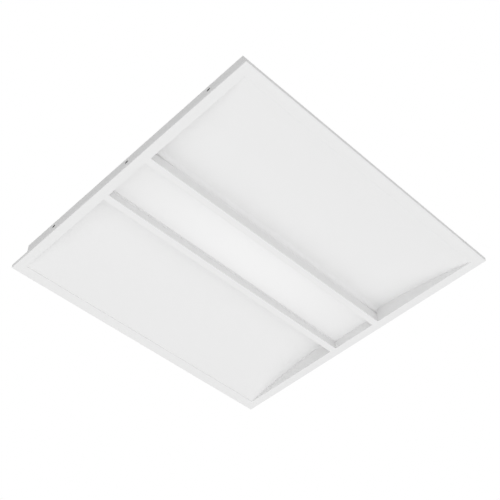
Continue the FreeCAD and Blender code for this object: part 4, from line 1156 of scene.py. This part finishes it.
@dataclass
class Driver(SubAssembly):
    """The LED driver's moulded case and its two terminals.

    Attributes:
        edge: Rounding of the case's edges.
        seam: Distance of the end caps' seams from the case's ends.
        seam_size: Width and depth of a seam.
        panel_margin: Bare border round the sunken panel on top.
        panel_depth: How deep the panel is.
        panel_floor: Size of its floor as a share of its mouth.
        terminal_edge: Rounding of a terminal's edges.
        port: Side of a wire port.
        port_depth: How deep it is.
        port_floor: Size of its floor as a share of its mouth.
        key: Length and width of a release slot on a terminal's top.
        key_pitch: Distance from one slot to the next.
        key_depth: How deep it is.
        key_floor: Size of its floor as a share of its mouth.
    """

    edge: float = 1.0 * MM
    seam: float = 16.0 * MM
    seam_size: tuple[float, float] = (0.6 * MM, 0.4 * MM)
    panel_margin: float = 5.0 * MM
    panel_depth: float = 0.4 * MM
    panel_floor: float = 0.995
    terminal_edge: float = 0.4 * MM
    port: float = 3.4 * MM
    port_depth: float = 2.4 * MM
    port_floor: float = 0.9
    key: tuple[float, float] = (3.0 * MM, 1.6 * MM)
    key_pitch: float = 6.0 * MM
    key_depth: float = 1.2 * MM
    key_floor: float = 0.8

    def build(self) -> None:
        """Make the case and the terminals."""
        low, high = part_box("driver_case")
        shape = block(low, high)
        soften(shape, self.edge, segments=3)
        for place in (low.x + self.seam, high.x - self.seam):
            groove(shape, 0, place, *self.seam_size)
        inset = Vector((self.seam + self.panel_margin, self.panel_margin, 0))
        panel = (Vector((low.x, low.y, high.z)) + inset, high - inset)
        sink(shape, UP, [panel], self.panel_depth, self.panel_floor)
        self.hand_over("driver_shell", shape, Slot.WHITE_PLASTIC, stands_for=("driver_case",))
        terminals = [self._terminal(box) for box in solid_boxes("driver_terminals")]
        self.hand_over("driver_push_ins", gathered(terminals), Slot.WHITE_PLASTIC,
                       stands_for=("driver_terminals",))

    def _terminal(self, box: Box) -> bmesh.types.BMesh:
        """One terminal, with a wire port on the side where its lead arrives and release slots on top."""
        low, high = box
        shape = block(low, high)
        soften(shape, self.terminal_edge)
        middle = (low + high) / 2
        mouth = Vector((middle.x, high.y, middle.z))
        half = Vector((self.port / 2, 0, self.port / 2))
        sink(shape, Vector((0, 1, 0)), [(mouth - half, mouth + half)], self.port_depth, self.port_floor)
        reach = Vector((*self.key, 0)) / 2
        spots = [Vector((middle.x, middle.y + count * self.key_pitch, high.z)) for count in (-1, 0, 1)]
        keys = [(spot - reach, spot + reach) for spot in spots]
        sink(shape, UP, keys, self.key_depth, self.key_floor)
        return shape


@dataclass
class MainsInlet(SubAssembly):
    """Terminal block, levers, earth point, saddle, grommets, and the cover's pins and lock.

    Attributes:
        fixed: The nodes that stay with the housing, with their finishes.
        moving: The nodes that turn, with their finishes and bodies.
    """

    fixed: tuple[tuple[str, Slot], ...] = (
        ("terminal_block", Slot.GREY_PLASTIC), ("lever_pin", Slot.ZINC), ("earth_stud", Slot.ZINC),
        ("earth_nut", Slot.BRASS), ("earth_tag", Slot.BRASS), ("clamp_saddle", Slot.WHITE_PLASTIC),
        ("lead_grommet", Slot.RUBBER), ("entry_grommet", Slot.RUBBER), ("cover_hinge_pins", Slot.ZINC))
    moving: tuple[tuple[str, Slot, Body], ...] = (
        ("terminal_lever_1", Slot.DARK_PLASTIC, Body.LEVER_1),
        ("terminal_lever_2", Slot.DARK_PLASTIC, Body.LEVER_2),
        ("terminal_lever_3", Slot.DARK_PLASTIC, Body.LEVER_3),
        ("cover_lock", Slot.GREY_PLASTIC, Body.LOCK))

    def build(self) -> None:
        """Make every piece of the inlet."""
        still = tuple((node, slot, Body.HOUSING) for node, slot in self.fixed)
        for node, slot, body in still + self.moving:
            self.hand_over(f"smooth_{node}", merged_copy(node), slot, body, (node,))


@dataclass(frozen=True)
class Lead:
    """A lead that the housing holds all the way.

    Attributes:
        slot: Its finish.
        route: The points that it follows, in millimetres.
    """

    slot: Slot
    route: tuple[Point, ...]


LEADS = {
    "led_lead": Lead(Slot.LEAD_WHITE, (
        (-16, -2.2, 42.4), (-8, -2.2, 42.4), (0, -2.2, 42.4), (0, -2.2, 54), (0, -2.2, 66.3),
        (-16, -2.2, 66.3), (-148, -2.2, 66.3), (-164, -2.2, 66.3), (-164, -12, 66.3), (-164, -21, 66.3))),
    "mains_lead": Lead(Slot.LEAD_GREY, (
        (130, 26.75, 57.8), (121, 26.75, 57.8), (114.5, 24.5, 58.4), (113.5, 14.5, 61.2), (114, 4, 65),
        (114, -8, 66.3), (114, -21, 66.3))),
    "earth_lead": Lead(Slot.LEAD_GREEN, (
        (130, 36.5, 57.8), (121, 36.5, 57.8), (115, 39, 57.2), (110, 44.5, 55.6), (103, 46, 55.2))),
    "board_link": Lead(Slot.LEAD_WHITE, (
        (-16, 2.2, 42.4), (-4, 2.2, 42.4), (4, 2.2, 42.4), (16, 2.2, 42.4))),
}


@dataclass
class Wiring(SubAssembly):
    """The leads inside the housing, each a smooth line from terminal to terminal.

    Attributes:
        radius: Radius of a lead's insulation.
    """

    radius: float = 1.3 * MM

    def build(self) -> None:
        """Make every lead."""
        for node, lead in LEADS.items():
            points = [[part * MM for part in point] for point in lead.route]
            self.hand_over(f"round_{node}", wire_tube(points, self.radius), lead.slot, stands_for=(node,))


# ---------------------------------------------------------------- camera and studio
@dataclass(frozen=True)
class PhotoCamera:
    """The photograph's camera, which looks up at the light from one corner.

    Attributes:
        azimuth: Direction of the camera from the origin, in degrees from +X.
        elevation: Its height above the horizon, in degrees.
        roll: Turn about its own view, in degrees.
        distance: From the origin, in metres.
        slide: How far it moves right and up without turning.
        lens: Focal length in millimetres.
        sensor: Width of the sensor, in millimetres.
        far: How far it sees, in metres.
    """

    azimuth: float = 224.8
    elevation: float = -46.43
    roll: float = -0.97
    distance: float = 1.7473
    slide: tuple[float, float] = (0.0019, 0.0255)
    lens: float = 71.01
    sensor: float = 36.0
    far: float = 60.0

    def build(self) -> bpy.types.Object:
        """Make the camera and look through it.

        Returns:
            The camera.
        """
        turn, rise, tilt = (math.radians(angle) for angle in (self.azimuth, self.elevation, self.roll))
        back = Vector((math.cos(rise) * math.cos(turn), math.cos(rise) * math.sin(turn), math.sin(rise)))
        right = UP.cross(back).normalized()
        up = back.cross(right)
        rolled_right = math.cos(tilt) * right + math.sin(tilt) * up
        rolled_up = math.cos(tilt) * up - math.sin(tilt) * right
        spot = back * self.distance + rolled_right * self.slide[0] + rolled_up * self.slide[1]
        data = bpy.data.cameras.new("photo_camera")
        data.lens = self.lens
        data.sensor_width = self.sensor
        data.clip_end = self.far
        camera = bpy.data.objects.new("photo_camera", data)
        bpy.context.scene.collection.objects.link(camera)
        axes = Matrix((rolled_right, rolled_up, back)).transposed()
        camera.matrix_world = Matrix.Translation(spot) @ axes.to_4x4()
        bpy.context.scene.camera = camera
        return camera


@dataclass(frozen=True)
class SoftLamp:
    """A square softbox.

    Attributes:
        name: The lamp's name.
        place: Its middle, in metres.
        size: Its side.
        power: In watts.
        aim: The point that it faces.
    """

    name: str
    place: tuple[float, float, float]
    size: float
    power: float
    aim: tuple[float, float, float] = (0.0, 0.0, 0.0)

    def build(self) -> None:
        """Hang the lamp and turn it to face its aim."""
        data = bpy.data.lights.new(self.name, "AREA")
        data.shape = "SQUARE"
        data.size = self.size
        data.energy = self.power
        lamp = bpy.data.objects.new(self.name, data)
        lamp.location = self.place
        lamp.rotation_mode = "QUATERNION"
        lamp.rotation_quaternion = (Vector(self.place) - Vector(self.aim)).to_track_quat("Z", "Y")
        lamp.visible_camera = False
        bpy.context.scene.collection.objects.link(lamp)


@dataclass(frozen=True)
class Studio:
    """A pale room: the floor, the white surround and the softboxes.

    Attributes:
        floor_level: Height of the floor, which is a room's height below the rim.
        floor_size: Its side.
        floor_tone: Its grey.
        floor_glow: Share of it that the camera sees as evenly pale, however far off it is.
        floor_white: How bright that even share is.
        surround: How brightly the surround lights the object; the camera sees it as white.
        lamps: The softboxes.
    """

    floor_level: float = -2.4
    floor_size: float = 30.0
    floor_tone: float = 0.86
    floor_glow: float = 0.65
    floor_white: float = 0.9
    surround: float = 0.52
    lamps: tuple[SoftLamp, ...] = (
        SoftLamp("lamp_below", (-0.9, -1.0, -2.0), 2.4, 4.0),
        SoftLamp("lamp_above", (0.9, 0.9, 2.2), 1.8, 20.0),
        SoftLamp("floor_wash", (0.0, 0.0, -0.7), 14.0, 405.0, (0.0, 0.0, -2.4)),
    )

    def build(self) -> None:
        """Set up the whole studio."""
        self._build_surround()
        self._build_floor()
        for lamp in self.lamps:
            lamp.build()
        bpy.context.scene.view_settings.view_transform = "Standard"

    @staticmethod
    def _seen(graph: NodeGraph) -> Wire:
        """1 where a ray shows the surface in the picture or in a reflection, and 0 where it only lights."""
        path = graph.node("ShaderNodeLightPath")
        seen = graph.math("MAXIMUM", graph.out(path, "Is Camera Ray"), graph.out(path, "Is Glossy Ray"))
        return graph.math("MAXIMUM", seen, graph.out(path, "Is Transmission Ray"))

    def _build_surround(self) -> None:
        """White to the camera and in reflections, and softer as a light."""
        world = bpy.data.worlds.new("surround")
        bpy.context.scene.world = world
        world.use_nodes = True
        graph = NodeGraph(world.node_tree)
        strength = self.surround + self._seen(graph) * (1.0 - self.surround)
        sky = graph.node("ShaderNodeBackground", None, {"Color": (1, 1, 1, 1), "Strength": strength})
        graph.finish(graph.out(sky), "ShaderNodeOutputWorld")

    def _build_floor(self) -> None:
        """A plain pale floor far below."""
        mesh = bpy.data.meshes.new("studio_floor")
        shape = bmesh.new()
        bmesh.ops.create_grid(shape, x_segments=1, y_segments=1, size=self.floor_size / 2)
        bmesh.ops.translate(shape, verts=shape.verts, vec=(0, 0, self.floor_level))
        shape.to_mesh(mesh)
        shape.free()
        floor = bpy.data.objects.new("studio_floor", mesh)
        bpy.context.scene.collection.objects.link(floor)
        material = bpy.data.materials.new("floor_finish")
        material.use_nodes = True
        graph = NodeGraph(material.node_tree)
        grey = (self.floor_tone,) * 3
        tone = graph.colour_mix(graph.noise(0.5, 3.0), grey, shade(grey, 0.98))
        paint = graph.surface({"Base Color": tone, "Roughness": 0.9, "Specular IOR Level": 0.2})
        glow = graph.node("ShaderNodeEmission", None, {"Color": (1, 1, 1, 1), "Strength": self.floor_white})
        share = self._seen(graph) * self.floor_glow
        both = {0: share, 1: paint, 2: graph.out(glow)}
        graph.finish(graph.out(graph.node("ShaderNodeMixShader", None, both)))
        mesh.materials.append(material)


def main() -> None:
    """Build the camera, the studio and every sub-assembly's looks in order."""
    logging.basicConfig(level=logging.INFO, format="%(name)s: %(message)s")
    PhotoCamera().build()
    Studio().build()
    shelf = FinishShelf()
    shelf.dress_frame()
    for kind in (SheetMetal, Reflectors, Diffuser, Fasteners, LightBoards, Driver, MainsInlet, Wiring):
        kind(shelf).build()


if __name__ == "__main__":
    main()
